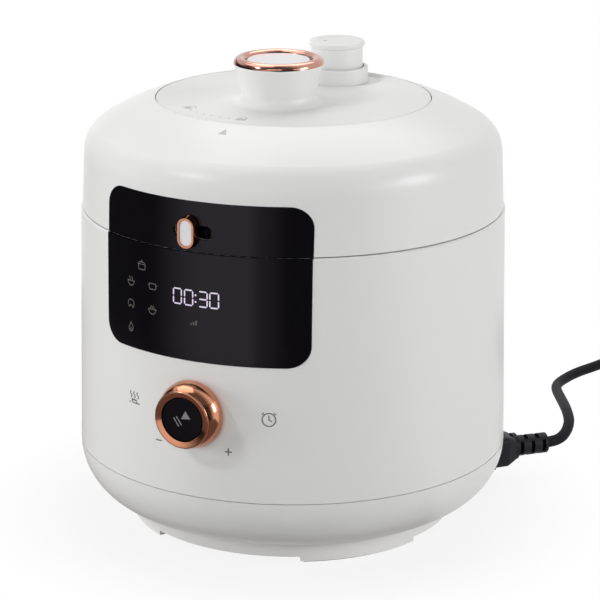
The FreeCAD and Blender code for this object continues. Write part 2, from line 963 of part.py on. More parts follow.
def base_plate():
    body = lathe("base_plate_disc", [
        (0, d.base_height),
        (d.foot_inner, d.base_height),
        (d.foot_inner, d.base_skirt_lift),
        (d.foot_outer, d.base_skirt_lift),
        (d.foot_outer, base_floor_top),
        (d.base_mouth_radius + d.plate_rim_width, base_floor_top),
        (d.base_mouth_radius + d.plate_rim_width, base_floor_top + d.plate_wall),
        (d.base_mouth_radius - d.plate_wall, base_floor_top + d.plate_wall),
        (d.base_mouth_radius - d.plate_wall, plate_top_of_base),
        (0, plate_top_of_base),
    ])
    rise = d.base_skirt_lift - d.pad_height
    for name, middle in foot_pairs():
        foot = sector_corners(d.foot_inner, d.foot_outer, d.foot_spread / 2, middle - d.post_turn)
        pad_round(body, name, foot, d.pad_height, rise + d.sink, d.foot_count / 2)
    centre = d.heater_post_circle
    post = [
        (centre + d.post_radius, 0, d.post_radius, LEFT),
        (centre, d.post_radius, d.post_radius, LEFT),
        (centre - d.post_radius, 0, d.post_radius, LEFT),
        (centre, -d.post_radius, d.post_radius, LEFT),
    ]
    post_low = plate_top_of_base - d.sink
    pad_round(body, "post", post, post_low, d.liner_floor - post_low, d.post_count)
    vent = rectangle(d.vent_inner, d.vent_outer, -d.vent_width / 2, d.vent_width / 2)
    pocket_round(body, "vent", vent, plate_top_of_base + d.sink, d.plate_wall + d.sink * 2, d.vent_count)
    return node("base_plate", place(body, turn=d.post_turn))


def foot_pairs():
    """The middles of the two feet on the right, each of which has a partner across the axis."""
    return (("front_foot", -d.foot_angle), ("rear_foot", d.foot_angle))


def foot_pads():
    corners = sector_corners(
        d.foot_inner + d.pad_inset, d.foot_outer - d.pad_inset, d.foot_spread / 2 - d.pad_trim
    )
    pads = []
    for name, middle in foot_pairs():
        for partner in (0, FULL_TURN / 2):
            pad = prism(f"{name}_pad_{len(pads) + 1}", corners, "XY_Plane", 0, d.pad_height)
            pads.append(place(pad, turn=middle + partner))
    group = doc.addObject("Part::Compound", "foot_pad_group")
    group.Links = pads
    return node("foot_pads", group)


# Pot, heater and pressure vessel in the casing
def inner_liner():
    outer = liner_inner + d.liner_wall
    under = liner_flange_top - d.liner_wall
    return node("inner_liner", lathe("inner_liner_wall", [
        (d.sensor_stem + d.sensor_fit, d.liner_floor),
        (outer, d.liner_floor),
        (outer, under),
        (d.liner_flange, under),
        (d.liner_flange, liner_flange_top),
        (liner_inner, liner_flange_top),
        (liner_inner, liner_floor_top),
        (d.sensor_stem + d.sensor_fit, liner_floor_top),
    ]))


def locking_flange():
    outer = d.flange_radius + d.flange_wall
    body = lathe("locking_flange_ring", [
        (d.flange_radius, liner_flange_top),
        (d.liner_flange, liner_flange_top),
        (d.liner_flange, flange_rim_top),
        (outer, flange_rim_top),
        (outer, d.flange_top),
        (d.flange_radius, d.flange_top),
    ])
    lug = sector_corners(d.press_radius + d.lug_gap, d.flange_radius + d.flange_wall / 2, d.lug_spread / 2)
    pad_round(body, "flange_lug", lug, d.flange_top - d.lug_wall, d.lug_wall, d.lug_count)
    return node("locking_flange", place(body, turn=lug_turn + as_size(FULL_TURN / 2) / d.lug_count))


def inner_pot():
    inner = d.pot_radius - d.pot_wall
    floor_top = d.pot_floor + d.pot_floor_wall
    corner_inner = d.pot_corner - d.pot_wall
    return node("inner_pot", lathe("inner_pot_wall", [
        (0, d.pot_floor),
        (d.pot_radius - d.pot_corner, d.pot_floor, d.pot_corner, LEFT),
        (d.pot_radius, d.pot_floor + d.pot_corner),
        (d.pot_radius, liner_flange_top),
        (d.pot_rim_radius, liner_flange_top),
        (d.pot_rim_radius, d.pot_rim_height),
        (inner, d.pot_rim_height),
        (inner, floor_top + corner_inner, corner_inner, RIGHT),
        (inner - corner_inner, floor_top),
        (0, floor_top),
    ]))


def heating_plate():
    body = lathe("heating_plate_disc", [
        (d.heater_hole, heater_bottom),
        (d.heater_radius, heater_bottom),
        (d.heater_radius, d.pot_floor),
        (d.heater_hole, d.pot_floor),
    ])
    centre = d.heater_post_circle
    half = d.heater_post_radius
    foot = rectangle(centre - half, centre + half, -half, half)
    rise = heater_bottom - liner_floor_top
    pad_round(body, "heater_foot", foot, liner_floor_top, rise + d.sink, d.post_count)
    return node("heating_plate", body)


def sensor_cup():
    top = d.pot_floor - d.fit_gap
    under = top - d.sensor_wall
    stem_end = under - d.sensor_stem_length
    clip_top = stem_end + d.sensor_clip_wall
    return node("sensor_cup", lathe("sensor_cup_turned", [
        (0, stem_end),
        (d.sensor_clip_radius, stem_end),
        (d.sensor_clip_radius, clip_top),
        (d.sensor_stem, clip_top),
        (d.sensor_stem, under),
        (d.sensor_radius, under),
        (d.sensor_radius, top),
        (0, top),
    ]))


# Boards and controls in the casing
def power_board():
    low = d.power_board_height
    top = low + d.board_wall
    half_length = board_half_length
    start = d.power_board_offset
    finish = start + d.power_board_width
    inset = d.board_post_inset / 2
    pieces = [box("power_board_sheet", (-half_length, start, low), (half_length, finish, top))]
    for across in (inset - half_length, half_length - inset):
        for depth in (start + inset, finish - inset):
            pieces.append(cylinder(
                f"power_post_{len(pieces)}",
                d.board_post_radius,
                low - plate_top_of_base,
                (across, depth, plate_top_of_base),
            ))
    pieces.append(box(
        "relay",
        (-half_length + inset, start + inset, top),
        (-half_length + inset + d.relay_length, start + inset + d.relay_width, top + d.relay_rise),
    ))
    pieces.append(box(
        "coil_core",
        (inset, start + inset, top),
        (inset + d.coil_core_length, start + inset + d.coil_core_width, top + d.coil_core_rise),
    ))
    return node("power_board", fuse("power_board_fused", *pieces))


def control_board():
    sheet_half = d.board_half_width
    pieces = [box(
        "control_board_sheet",
        (-sheet_half, -board_front, d.board_bottom),
        (sheet_half, d.board_wall - board_front, board_top),
    )]
    inset = d.board_post_inset
    for across in (inset - sheet_half, sheet_half - inset):
        for height in (d.board_bottom + inset, board_top - inset):
            reach = root(square(wall_radius(height) - d.shell_wall - d.run_gap) - square(sheet_half))
            pieces.append(cylinder(
                f"control_post_{len(pieces)}",
                d.board_post_radius,
                reach - board_front,
                (across, -reach, height),
                "Y",
            ))
    return node("control_board", fuse("control_board_fused", *pieces))


def display_module():
    low = d.display_height - d.display_rise / 2
    return node("display_module", box(
        "display_block",
        (-d.display_half_width, -board_front - d.display_depth, low),
        (d.display_half_width, -board_front, low + d.display_rise),
    ))


def encoder():
    half = d.encoder_half_width
    block = box(
        "encoder_block",
        (-half, -board_front - d.encoder_depth, d.dial_height - half),
        (half, -board_front, d.dial_height + half),
    )
    bore = cylinder(
        "encoder_bore",
        d.dial_stem + d.dial_stem_fit,
        d.encoder_depth,
        (0, -board_front - d.encoder_depth - d.sink, d.dial_height),
        "Y",
    )
    return node("encoder", cut("encoder_cut", block, bore))


def dial_knob():
    """Flared copper dial: rim clear of the casing, hollow curve to the waist, dished face at the front."""
    rear = -dial_seat - d.run_gap
    front = rear - d.dial_depth
    rim_rear = rear - d.dial_rear_length - d.dial_undercut
    rim_front = rim_rear - d.dial_rim
    waist = front + d.dial_lip_drop
    pocket_floor = front + d.button_recess + d.button_wall + d.button_travel + d.button_room
    lip = d.dial_lip_curve
    stem_end = -board_front - d.encoder_depth + d.dial_stem_reach
    body = lathe_along_y("dial_turned", [
        (rear, d.dial_rear_radius),
        (rear - d.dial_rear_length, d.dial_rear_radius),
        (rim_rear, d.dial_base_radius),
        (rim_front, d.dial_base_radius, d.dial_flare_curve, LEFT),
        (waist, d.dial_waist_radius),
        (front + lip, d.dial_lip_radius, lip, LEFT),
        (front, d.dial_lip_radius - lip),
        (front + d.dial_face_dish, d.dial_face_inner),
        (pocket_floor, d.dial_face_inner),
        (pocket_floor, d.dial_stem_bore),
        (stem_end, d.dial_stem_bore),
        (stem_end, d.dial_stem),
        (rear, d.dial_stem),
    ])
    return node("dial_knob", place(body, z=d.dial_height))


def start_button():
    front = -dial_seat - d.run_gap - d.dial_depth + d.button_recess
    rear = front + d.button_wall
    outer = d.dial_face_inner - d.run_gap
    stem_end = -board_front - d.encoder_depth + d.dial_stem_reach
    body = lathe_along_y("start_button_turned", [
        (front, 0),
        (front, outer - d.button_edge),
        (front + d.button_edge, outer),
        (rear, outer),
        (rear, d.button_stem),
        (stem_end, d.button_stem),
        (stem_end, 0),
    ])
    return node("start_button", place(body, z=d.dial_height))


# Rear hinge
def hinge_base():
    axis_height = d.parting_height
    reach = d.hinge_reach
    shelf = axis_height - d.knuckle_radius - d.run_gap
    block = prism(
        "hinge_block",
        [
            (wall_radius(d.hinge_root) - d.knuckle_radius, d.hinge_root),
            (wall_radius(d.hinge_root), d.hinge_root),
            (reach + d.knuckle_radius, shelf - d.knuckle_radius),
            (reach + d.knuckle_radius, shelf),
            (wall_radius(d.hinge_root) - d.knuckle_radius, shelf),
        ],
        "YZ_Plane",
        -d.hinge_half_width,
        d.hinge_half_width * 2,
    )
    ears = []
    for side, start in (("left", -d.hinge_half_width), ("right", d.leaf_half_width + d.run_gap)):
        width = d.hinge_half_width - d.leaf_half_width - d.run_gap
        ears.append(cylinder(f"{side}_knuckle", d.knuckle_radius, width, (start, reach, axis_height), "X"))
        ears.append(box(
            f"{side}_ear",
            (start, reach - d.knuckle_radius, shelf - d.sink),
            (start + width, reach + d.knuckle_radius, axis_height),
        ))
    wall = lathe("hinge_wall_clearance", [
        (0, d.seam_height),
        (d.body_foot_radius + d.hinge_wall_gap, d.seam_height),
        (d.body_top_radius + d.hinge_wall_gap, d.parting_height),
        (d.body_top_radius + d.hinge_wall_gap, d.parting_height + d.knuckle_radius),
        (0, d.parting_height + d.knuckle_radius),
    ])
    bore = hinge_bore("hinge_base_bore")
    return node("hinge_base", cut("hinge_base_cut", fuse("hinge_base_solid", block, *ears), wall, bore))


def hinge_bore(name):
    length = d.hinge_half_width * 2
    start = (-d.hinge_half_width, d.hinge_reach, d.parting_height)
    return cylinder(name, d.hinge_pin_radius + d.hinge_pin_fit, length, start, "X")


def hinge_pin():
    length = d.hinge_half_width * 2
    start = (-d.hinge_half_width, d.hinge_reach, d.parting_height)
    return node("hinge_pin", cylinder("hinge_pin_bar", d.hinge_pin_radius, length, start, "X"))


def hinge_leaf():
    reach = d.hinge_reach
    axis_height = d.parting_height
    wall_face = d.lid_top_radius - d.knuckle_radius
    top = axis_height + d.leaf_rise
    arm = prism(
        "leaf_arm",
        [
            (wall_face, lid_bottom + d.run_gap),
            (reach, lid_bottom + d.run_gap),
            (reach, axis_height + d.knuckle_radius),
            (d.lid_top_radius + d.leaf_top_depth, top),
            (wall_face, top),
        ],
        "YZ_Plane",
        -d.leaf_half_width,
        d.leaf_half_width * 2,
    )
    knuckle = cylinder(
        "leaf_knuckle", d.knuckle_radius, d.leaf_half_width * 2, (-d.leaf_half_width, reach, axis_height), "X"
    )
    wall = lathe("leaf_wall_clearance", [
        (0, lid_bottom),
        (d.lid_radius + d.hinge_wall_gap, lid_bottom),
        (d.lid_top_radius + d.hinge_wall_gap, d.lid_wall_top),
        (0, d.lid_wall_top),
    ])
    bore = hinge_bore("leaf_bore")
    return node("hinge_leaf", cut("hinge_leaf_cut", fuse("hinge_leaf_solid", arm, knuckle), wall, bore))


# Lid
def lid_shell():
    wall = d.lid_wall
    mouth = d.lid_mouth_radius
    ledge_root = mouth + d.ledge_root
    outer_end = shoulder_end(as_size(0))
    inner_end = shoulder_end(wall)
    shell = lathe("lid_shell_wall", [
        (d.lid_radius, lid_bottom),
        (d.lid_top_radius, d.lid_wall_top, d.shoulder_radius, LEFT),
        (*outer_end, d.crown_radius, LEFT),
        (mouth, plate_top),
        (mouth, ledge_top),
        (ledge_inner, ledge_top),
        (ledge_inner, ledge_bottom),
        (ledge_root, ledge_bottom),
        (ledge_root, crown_height(ledge_root, wall), d.crown_radius - wall, RIGHT),
        (*inner_end, d.shoulder_radius - wall, RIGHT),
        (d.lid_top_radius - wall, d.lid_wall_top),
        (d.lid_radius - wall, lid_bottom),
    ])
    recess = panel_blank("lid_recess", True, d.fit_gap, wall)
    return node("lid_shell", cut("lid_shell_cut", shell, recess, slider_slot("lid_slot")))


def slider_slot(name):
    """The level slot that the slider's tongue runs in."""
    corners = level_stadium(d.slot_half_width, d.slot_half_rise, d.slider_height)
    return place(prism(name, corners, "XZ_Plane", d.panel_half_width, d.lid_radius), x=-d.slot_side)


def lid_panel():
    blank = panel_blank("lid_panel_blank", True, as_size(0), d.panel_proud)
    return node("lid_panel", cut("lid_panel_cut", blank, slider_slot("panel_slot")))


def lid_liner():
    low = lid_bottom + d.lid_liner_recess
    outer = lid_wall_radius(low + d.lid_liner_wall) - d.lid_wall - d.fit_gap
    ring = lathe("lid_liner_ring", [
        (d.lid_liner_inner, low),
        (outer, low),
        (outer, low + d.lid_liner_wall),
        (d.lid_liner_inner + d.lid_liner_wall, low + d.lid_liner_wall),
        (d.lid_liner_inner + d.lid_liner_wall, low + d.lid_liner_rise),
        (d.lid_liner_inner, low + d.lid_liner_rise),
    ])
    half_depth = d.latch_wall / 2 + d.latch_gap
    half_width = d.latch_half_width + d.latch_toe + d.latch_travel + d.latch_gap
    slot = box(
        "lid_liner_slot",
        (-half_width, -d.latch_line - half_depth, low - d.sink),
        (half_width, half_depth - d.latch_line, low + d.lid_liner_wall + d.sink),
    )
    return node("lid_liner", cut("lid_liner_cut", ring, slot))


def slider_bezel():
    """Tapered copper frame of the lid slider, with a floor that the white insert lies on."""
    body = doc.addObject("PartDesign::Body", "slider_frame")
    ends = ((slider_rear, as_size(0)), (slider_rear + d.slider_proud, d.slider_taper))
    sketches = []
    for index, (depth, taper) in enumerate(ends):
        sketch = sketch_on(body, "XZ_Plane", f"slider_end_{index + 1}", depth)
        half_width = d.slider_half_width - taper
        outline(sketch, upright_stadium(half_width, d.slider_half_rise - taper, d.slider_height))
        sketches.append(sketch)
    blend = body.newObject("PartDesign::AdditiveLoft", "slider_blend")
    blend.Profile = sketches[0]
    blend.Sections = [sketches[1]]
    place(body, x=-d.slider_side)
    inset = d.slider_taper + d.slider_frame
    pocket = slider_prism("slider_pocket", inset, d.slider_proud)
    return node("slider_bezel", cut("slider_bezel_cut", body, pocket))


def slider_prism(name, inset, length):
    """A block of the slider's outline less an inset, from the frame's floor to the front."""
    corners = upright_stadium(d.slider_half_width - inset, d.slider_half_rise - inset, d.slider_height)
    return place(prism(name, corners, "XZ_Plane", slider_rear + d.slider_floor, length), x=-d.slider_side)


def slider_insert():
    inset = d.slider_taper + d.slider_frame + d.fit_gap / 2
    length = d.slider_proud - d.slider_floor - d.insert_recess
    return node("slider_insert", slider_prism("slider_insert_pad", inset, length))


def latch_slide():
    """Tongue behind the slider, and the hook that drops from it through the deck."""
    half_rise = d.slot_half_rise - d.tongue_gap
    half_wall = d.latch_wall / 2
    tongue = box(
        "latch_tongue",
        (-d.slider_side - d.tongue_half_width, -slider_rear, d.slider_height - half_rise),
        (d.tongue_half_width - d.slider_side, half_wall - d.latch_line, d.slider_height + half_rise),
    )
    toe_top = deck_top - d.deck_wall - d.latch_plate_wall - d.latch_gap
    toe_low = toe_top - d.latch_toe_wall
    blade = box(
        "latch_blade",
        (-d.latch_half_width, -d.latch_line - half_wall, toe_low),
        (d.latch_half_width, half_wall - d.latch_line, d.slider_height),
    )
    toe = box(
        "latch_toe",
        (-d.latch_half_width - d.latch_toe, -d.latch_line - half_wall, toe_low),
        (0, half_wall - d.latch_line, toe_top),
    )
    return node("latch_slide", fuse("latch_slide_fused", tongue, blade, toe))


# Turn plate, knob and pressure lid
def turn_plate():
    """Round plate in the lid's mouth, its bearing skirt, its hub and the waisted knob in one moulding."""
    outer = d.lid_mouth_radius - d.groove_width
    skirt_outer = ledge_inner - d.run_gap
    skirt_inner = skirt_outer - d.skirt_wall
    skirt_bottom = ledge_bottom - d.run_gap
    hub_inner = d.hub_radius - d.hub_wall
    plate = lathe("turn_plate_disc", [
        (0, plate_top),
        (outer - d.groove_width, plate_top),
        (outer, plate_top - d.groove_width),
        (outer, plate_under),
        (skirt_outer, plate_under),
        (skirt_outer, skirt_bottom),
        (skirt_inner, skirt_bottom),
        (skirt_inner, plate_under),
        (d.hub_radius, plate_under),
        (d.hub_radius, d.press_top),
        (hub_inner, d.press_top),
        (hub_inner, plate_under),
        (0, plate_under),
    ])
    foot = d.knob_waist + d.knob_blend
    knob = lathe("knob_turned", [
        (0, plate_top - d.sink),
        (foot, plate_top - d.sink),
        (foot, plate_top, d.knob_blend, RIGHT),
        (d.knob_waist, plate_top + d.knob_blend),
        (d.knob_seat_radius, plate_top + d.knob_rise),
        (0, plate_top + d.knob_rise),
    ])
    place(knob, y=-d.knob_offset)
    dish = lathe("valve_dish", [
        (0, dish_floor),
        (d.dish_radius - d.dish_slope, dish_floor),
        (d.dish_radius, plate_top),
        (d.dish_radius, plate_top + d.dish_depth),
        (0, plate_top + d.dish_depth),
    ])
    place(dish, y=d.valve_offset)
    hole = cylinder(
        "valve_way",
        d.pipe_radius + d.run_gap,
        d.plate_rim * 2,
        (0, d.valve_offset, plate_under - d.plate_rim),
    )
    return node("turn_plate", fuse("turn_plate_fused", cut("turn_plate_cut", plate, dish, hole), knob))


def knob_ring():
    seat = plate_top + d.knob_rise
    tube = d.knob_ring_tube
    body = lathe("knob_ring_turned", [
        (d.knob_ring_circle - tube, seat),
        (d.knob_ring_circle + tube, seat, tube, LEFT),
        (d.knob_ring_circle, seat + tube, tube, LEFT),
    ])
    return node("knob_ring", place(body, y=-d.knob_offset))


def knob_cap():
    seat = plate_top + d.knob_rise
    outer = d.knob_ring_circle - d.knob_ring_tube - d.fit_gap
    body = lathe("knob_cap_turned", [
        (0, seat),
        (outer, seat),
        (outer, seat + d.knob_cap_wall - d.knob_cap_bevel),
        (outer - d.knob_cap_bevel, seat + d.knob_cap_wall),
        (0, seat + d.knob_cap_wall),
    ])
    return node("knob_cap", place(body, y=-d.knob_offset))


def turn_retainer():
    outer = ledge_inner - d.run_gap
    inner = outer - d.skirt_wall
    top = ledge_bottom - d.run_gap
    return node("turn_retainer", lathe("turn_retainer_ring", [
        (inner, top - d.retainer_wall),
        (outer + d.retainer_width, top - d.retainer_wall),
        (outer + d.retainer_width, top),
        (inner, top),
    ]))


def pressure_lid():
    wall = d.press_wall
    edge_inner = d.press_dome_edge - wall
    body = lathe("pressure_lid_dome", [
        (d.press_radius, d.press_bottom),
        (d.press_radius, d.press_rim_top),
        (d.press_dome_edge, dome_height(d.press_dome_edge, as_size(0)), d.press_dome_radius, LEFT),
        (d.press_flat_radius, d.press_top),
        (0, d.press_top),
        (0, d.press_top - wall),
        (d.press_flat_radius, d.press_top - wall, d.press_dome_radius - wall, RIGHT),
        (edge_inner, dome_height(edge_inner, wall)),
        (d.press_radius - wall, d.press_rim_top - wall / 2),
        (d.press_radius - wall, d.press_bottom),
    ])
    lug = sector_corners(d.press_radius - wall / 2, d.press_radius + d.press_lug_reach, d.lug_spread / 2)
    pad_round(body, "lid_lug", lug, d.press_bottom + d.press_lug_lift, d.press_lug_wall, d.lug_count)
    place(body, turn=lug_turn)
    reach = d.press_top
    pipe_hole = cylinder("pipe_hole", d.pipe_radius + d.pipe_fit, reach, (0, d.valve_offset, 0))
    float_hole = cylinder(
        "float_hole", d.float_stem + d.float_gap, reach * 2, (d.float_side, d.float_back, 0)
    )
    return node("pressure_lid", cut("pressure_lid_cut", body, pipe_hole, float_hole))


def sealing_gasket():
    low = d.pot_rim_height + d.gasket_gap
    outer = d.press_radius - d.press_wall - d.fit_gap
    top = d.press_rim_top - d.press_wall / 2 - d.gasket_gap
    return node("sealing_gasket", lathe("sealing_gasket_ring", [
        (outer, low + d.gasket_lip / 2),
        (outer, top),
        (d.gasket_inner + d.gasket_lip, top),
        (d.gasket_inner, low + d.gasket_lip),
        (d.gasket_inner + d.gasket_lip / 2, low),
        (outer - d.gasket_lip, low),
    ]))


def vent_pipe():
    low = pipe_low
    top = pipe_top
    body = lathe("vent_pipe_turned", [
        (d.pipe_bore, low),
        (d.pipe_radius, low),
        (d.pipe_radius, top),
        (d.pipe_bore, top),
    ])
    return node("vent_pipe", place(body, y=d.valve_offset))


def steam_shield():
    low = pipe_low
    top = dome_height(d.valve_offset + d.shield_radius, d.press_wall) - d.shield_gap
    body = lathe("steam_shield_turned", [
        (d.pipe_radius + d.pipe_fit, low),
        (d.shield_radius, low),
        (d.shield_radius, top),
        (d.shield_radius - d.shield_wall, top),
        (d.shield_radius - d.shield_wall, low + d.shield_wall),
        (d.pipe_radius + d.pipe_fit, low + d.shield_wall),
    ])
    return node("steam_shield", place(body, y=d.valve_offset))


def valve_collar():
    top = dish_floor + d.collar_rise
    inner = d.collar_radius - d.collar_wall
    body = lathe("valve_collar_turned", [
        (d.pipe_radius + d.run_gap, dish_floor),
        (d.collar_radius, dish_floor),
        (d.collar_radius, top - d.collar_edge, d.collar_edge, LEFT),
        (d.collar_radius - d.collar_edge, top),
        (inner, top),
        (inner, dish_floor + d.collar_floor),
        (d.pipe_radius + d.run_gap, dish_floor + d.collar_floor),
    ])
    return node("valve_collar", place(body, y=d.valve_offset))


def steam_valve():
    """Hollow weight that stands on the vent pipe."""
    low = dish_floor + d.collar_floor + d.valve_lift
    top = low + d.valve_rise
    rim_low = top - d.valve_rim_wall
    lip = d.valve_rim_radius - d.valve_radius
    bore_top = pipe_top + d.fit_gap
    body = lathe("steam_valve_turned", [
        (d.pipe_radius + d.run_gap, low),
        (d.valve_radius, low),
        (d.valve_radius, rim_low - lip),
        (d.valve_rim_radius, rim_low),
        (d.valve_rim_radius, top - d.valve_rim_edge, d.valve_rim_edge, LEFT),
        (d.valve_rim_radius - d.valve_rim_edge, top),
        (d.valve_dish_radius + d.valve_dish_depth, top),
        (d.valve_dish_radius, top - d.valve_dish_depth),
        (0, top - d.valve_dish_depth),
        (0, bore_top),
        (d.pipe_radius + d.run_gap, bore_top),
    ])
    place(body, y=d.valve_offset)
    hole = cylinder(
        "valve_mouth",
        d.valve_hole_radius,
        d.valve_hole_depth,
        (-d.valve_hole_side, d.valve_offset - d.valve_hole_front, top - d.valve_hole_depth),
    )
    return node("steam_valve", cut("steam_valve_cut", body, hole))


def float_valve():
    collar_low = d.press_top + d.float_gap
    low = d.press_top - d.press_wall - d.float_drop
    body = lathe("float_valve_turned", [
        (0, low),
        (d.float_head, low),
        (d.float_head, low + d.float_head_wall),
        (d.float_stem, low + d.float_head_wall),
        (d.float_stem, collar_low),
        (d.float_head, collar_low),
        (d.float_head, collar_low + d.float_head_wall),
        (d.float_stem, collar_low + d.float_head_wall),
        (d.float_stem, collar_low + d.float_rise),
        (0, collar_low + d.float_rise),
    ])
    return node("float_valve", place(body, x=d.float_side, y=d.float_back))


# Mains connector, cord, coil and plug
def connector():
    """Moulded connector in the inlet: nose with pin holes, head, neck and ribbed strain relief."""
    head_start = d.inlet_face + d.head_gap
    head_end = head_start + d.head_length
    nose_start = d.inlet_face - d.nose_length
    nose = inlet_prism(
        "connector_nose",
        d.inlet_mouth_half_width - d.nose_gap,
        d.inlet_mouth_half_rise - d.nose_gap,
        nose_start,
        head_start - nose_start + d.sink,
    )
    holes = []
    for across in (-1, 0, 1):
        holes.append(inlet_prism(
            f"connector_hole_{across + 2}",
            d.inlet_pin_width / 2 + d.nose_gap,
            d.inlet_pin_rise / 2 + d.nose_gap,
            nose_start - d.sink,
            d.nose_length,
            across * d.inlet_pin_pitch,
            earth_drop(across),
        ))
    bottom = d.inlet_height - d.head_half_rise
    top = d.inlet_height + d.head_half_rise
    taper = d.head_taper
    head = loft(
        "connector_head",
        rounded_rectangle(d.head_half_width, bottom, top, d.head_corner),
        rounded_rectangle(d.head_half_width - taper, bottom + taper, top - taper, d.head_corner),
        head_start,
        d.head_length,
    )
    neck = loft(
        "connector_neck",
        rounded_rectangle(d.head_half_width - taper, bottom + taper, top - taper, d.head_corner),
        rounded_rectangle(
            d.neck_half_width,
            d.inlet_height - d.neck_half_rise,
            d.inlet_height + d.neck_half_rise,
            d.head_corner,
        ),
        head_end,
        d.neck_length,
    )
    for piece in (head, neck):
        place(piece, turn=d.inlet_angle)
    collar = doc.addObject("Part::Cylinder", "connector_collar")
    bind(collar, "Radius", d.collar_reach)
    bind(collar, "Height", d.collar_length)
    neck_end = head_end + d.neck_length
    set_along_inlet(collar, neck_end)
    sleeve, slots = strain_relief("connector_relief", d.relief_radius, d.relief_end_radius, d.relief_length)
    for piece in (sleeve, *slots):
        set_along_inlet(piece, neck_end + d.collar_length)
    relief = cut("connector_relief_cut", sleeve, *slots)
    solid = fuse("connector_solid", cut("connector_nose_cut", nose, *holes), head, neck, collar, relief)
    return node("connector", solid)


def earth_drop(across):
    """The middle pin lies low and the two outer ones high."""
    return d.inlet_earth_drop if across == 0 else -d.inlet_earth_drop


def set_along_inlet(thing, radius):
    """Point a piece that was made along Z outwards from the inlet, from a radius on."""
    upright = FreeCAD.Rotation(FreeCAD.Vector(0, 1, 0), 90)
    swing = FreeCAD.Rotation(FreeCAD.Vector(0, 0, 1), d.inlet_angle.number)
    thing.Placement = FreeCAD.Placement(FreeCAD.Vector(), swing.multiply(upright))
    bind(thing, "Placement.Base.x", radius * cosine(d.inlet_angle))
    bind(thing, "Placement.Base.y", radius * sine(d.inlet_angle))
    bind(thing, "Placement.Base.z", d.inlet_height)


# Plain end of a strain relief, in pitches of its slots
PLAIN_END = 0.5


def strain_relief(name, start_radius, end_radius, length):
    """A tapered sleeve along Z, and the slots to cut in it: from the sides, then from above and below."""
    sleeve = lathe(name, [(0, 0), (start_radius, 0), (end_radius, length), (0, length)])
    count = round(d.relief_slots.number)
    pitch = length / (count + PLAIN_END)
    reach = start_radius + end_radius
    half = start_radius * d.relief_slot_share
    slots = []
    for index in range(count):
        start = pitch * (index + 1) - d.relief_slot_width
        for near, far in ((d.relief_core, reach), (-reach, -d.relief_core)):
            corners = rectangle(near, far, -half, half) if index % 2 else rectangle(-half, half, near, far)
            label = f"{name}_slot_{len(slots) + 1}"
            slots.append(prism(label, corners, "XY_Plane", start, d.relief_slot_width))
    return sleeve, slots


# Points where the free cord turns: offsets from the end of the strain relief, and lift from lying flat
CORD_ROUTE = [
    (8.1, 12, 20.3),
    (8.4, 22.5, 22.3),
    (4.8, 37.5, 24.3),
    (-2.5, 54, 24),
    (-14.6, 81, 19.6),
    (-32.6, 119.6, 12),
    (-51.3, 160, 4.1),
    (-57.5, 178.5, 1.3),
    (-58.7, 195, 0.2),
    (-55.5, 217.5, 0.2),
    (-45.5, 241.5, 0.7),
]
# The last two points, which lie as high as the coil
COIL_APPROACH = [(-37.5, 269.5), (-31.5, 294.5)]
# Share of the shorter run that an arc takes
ARC_SHARE = 0.45


def rounded_path(points):
    """Straight runs joined by arcs as large as the runs allow, with the radii of those arcs."""
    edges = []
    radii = []
    last = points[0]
    for before, corner, after in zip(points, points[1:], points[2:]):
        back = before - corner
        ahead = after - corner
        reach = ARC_SHARE * min(back.Length, ahead.Length)
        half_turn = (math.pi - back.getAngle(ahead)) / 2
        radius = reach / math.tan(half_turn)
        start = corner + back.normalize() * reach
        finish = corner + ahead.normalize() * reach
        inward = ((back + ahead).normalize()) * (radius / math.cos(half_turn) - radius)
        edges.append(Part.LineSegment(last, start).toShape())
        edges.append(Part.Arc(start, corner + inward, finish).toShape())
        radii.append(radius)
        last = finish
    edges.append(Part.LineSegment(last, points[-1]).toShape())
    return Part.Wire(edges), radii


def cord_tube(path, start, heading):
    """A round cord along a path that leaves start in a heading."""
    circle = Part.Circle(start, heading, d.cord_diameter.number / 2)
    return path.makePipeShell([Part.Wire(circle.toShape())], True, False)


def cord_points():
    """Out of the strain relief, straight on for the lead, round the turns and up to the coil."""
    head_end = d.inlet_face + d.head_gap + d.head_length
    relief_end = head_end + d.neck_length + d.collar_length + d.relief_length
    spots = []
    for radius in (relief_end, relief_end + d.cord_lead):
        x = radius * cosine(d.inlet_angle)
        y = radius * sine(d.inlet_angle)
        spots.append(FreeCAD.Vector(x.number, y.number, d.inlet_height.number))
    start = spots[0]
    for across, along, lift in CORD_ROUTE:
        height = lift + d.cord_diameter.number / 2
        spots.append(FreeCAD.Vector(start.x + across, start.y + along, height))
    for across, along in COIL_APPROACH:
        spots.append(FreeCAD.Vector(start.x + across, start.y + along, coil_low.number))
    return spots


def cord_run():
    points = cord_points()
    path, radii = rounded_path(points)
    piece = doc.addObject("Part::Feature", "cord_run_tube")
    piece.Shape = cord_tube(path, points[0], points[1] - points[0])
    piece.Placement = FreeCAD.Placement()
    print("cord radii", [round(radius, 1) for radius in radii], f"length {path.Length:.1f}")
    return node("cord_run", piece)


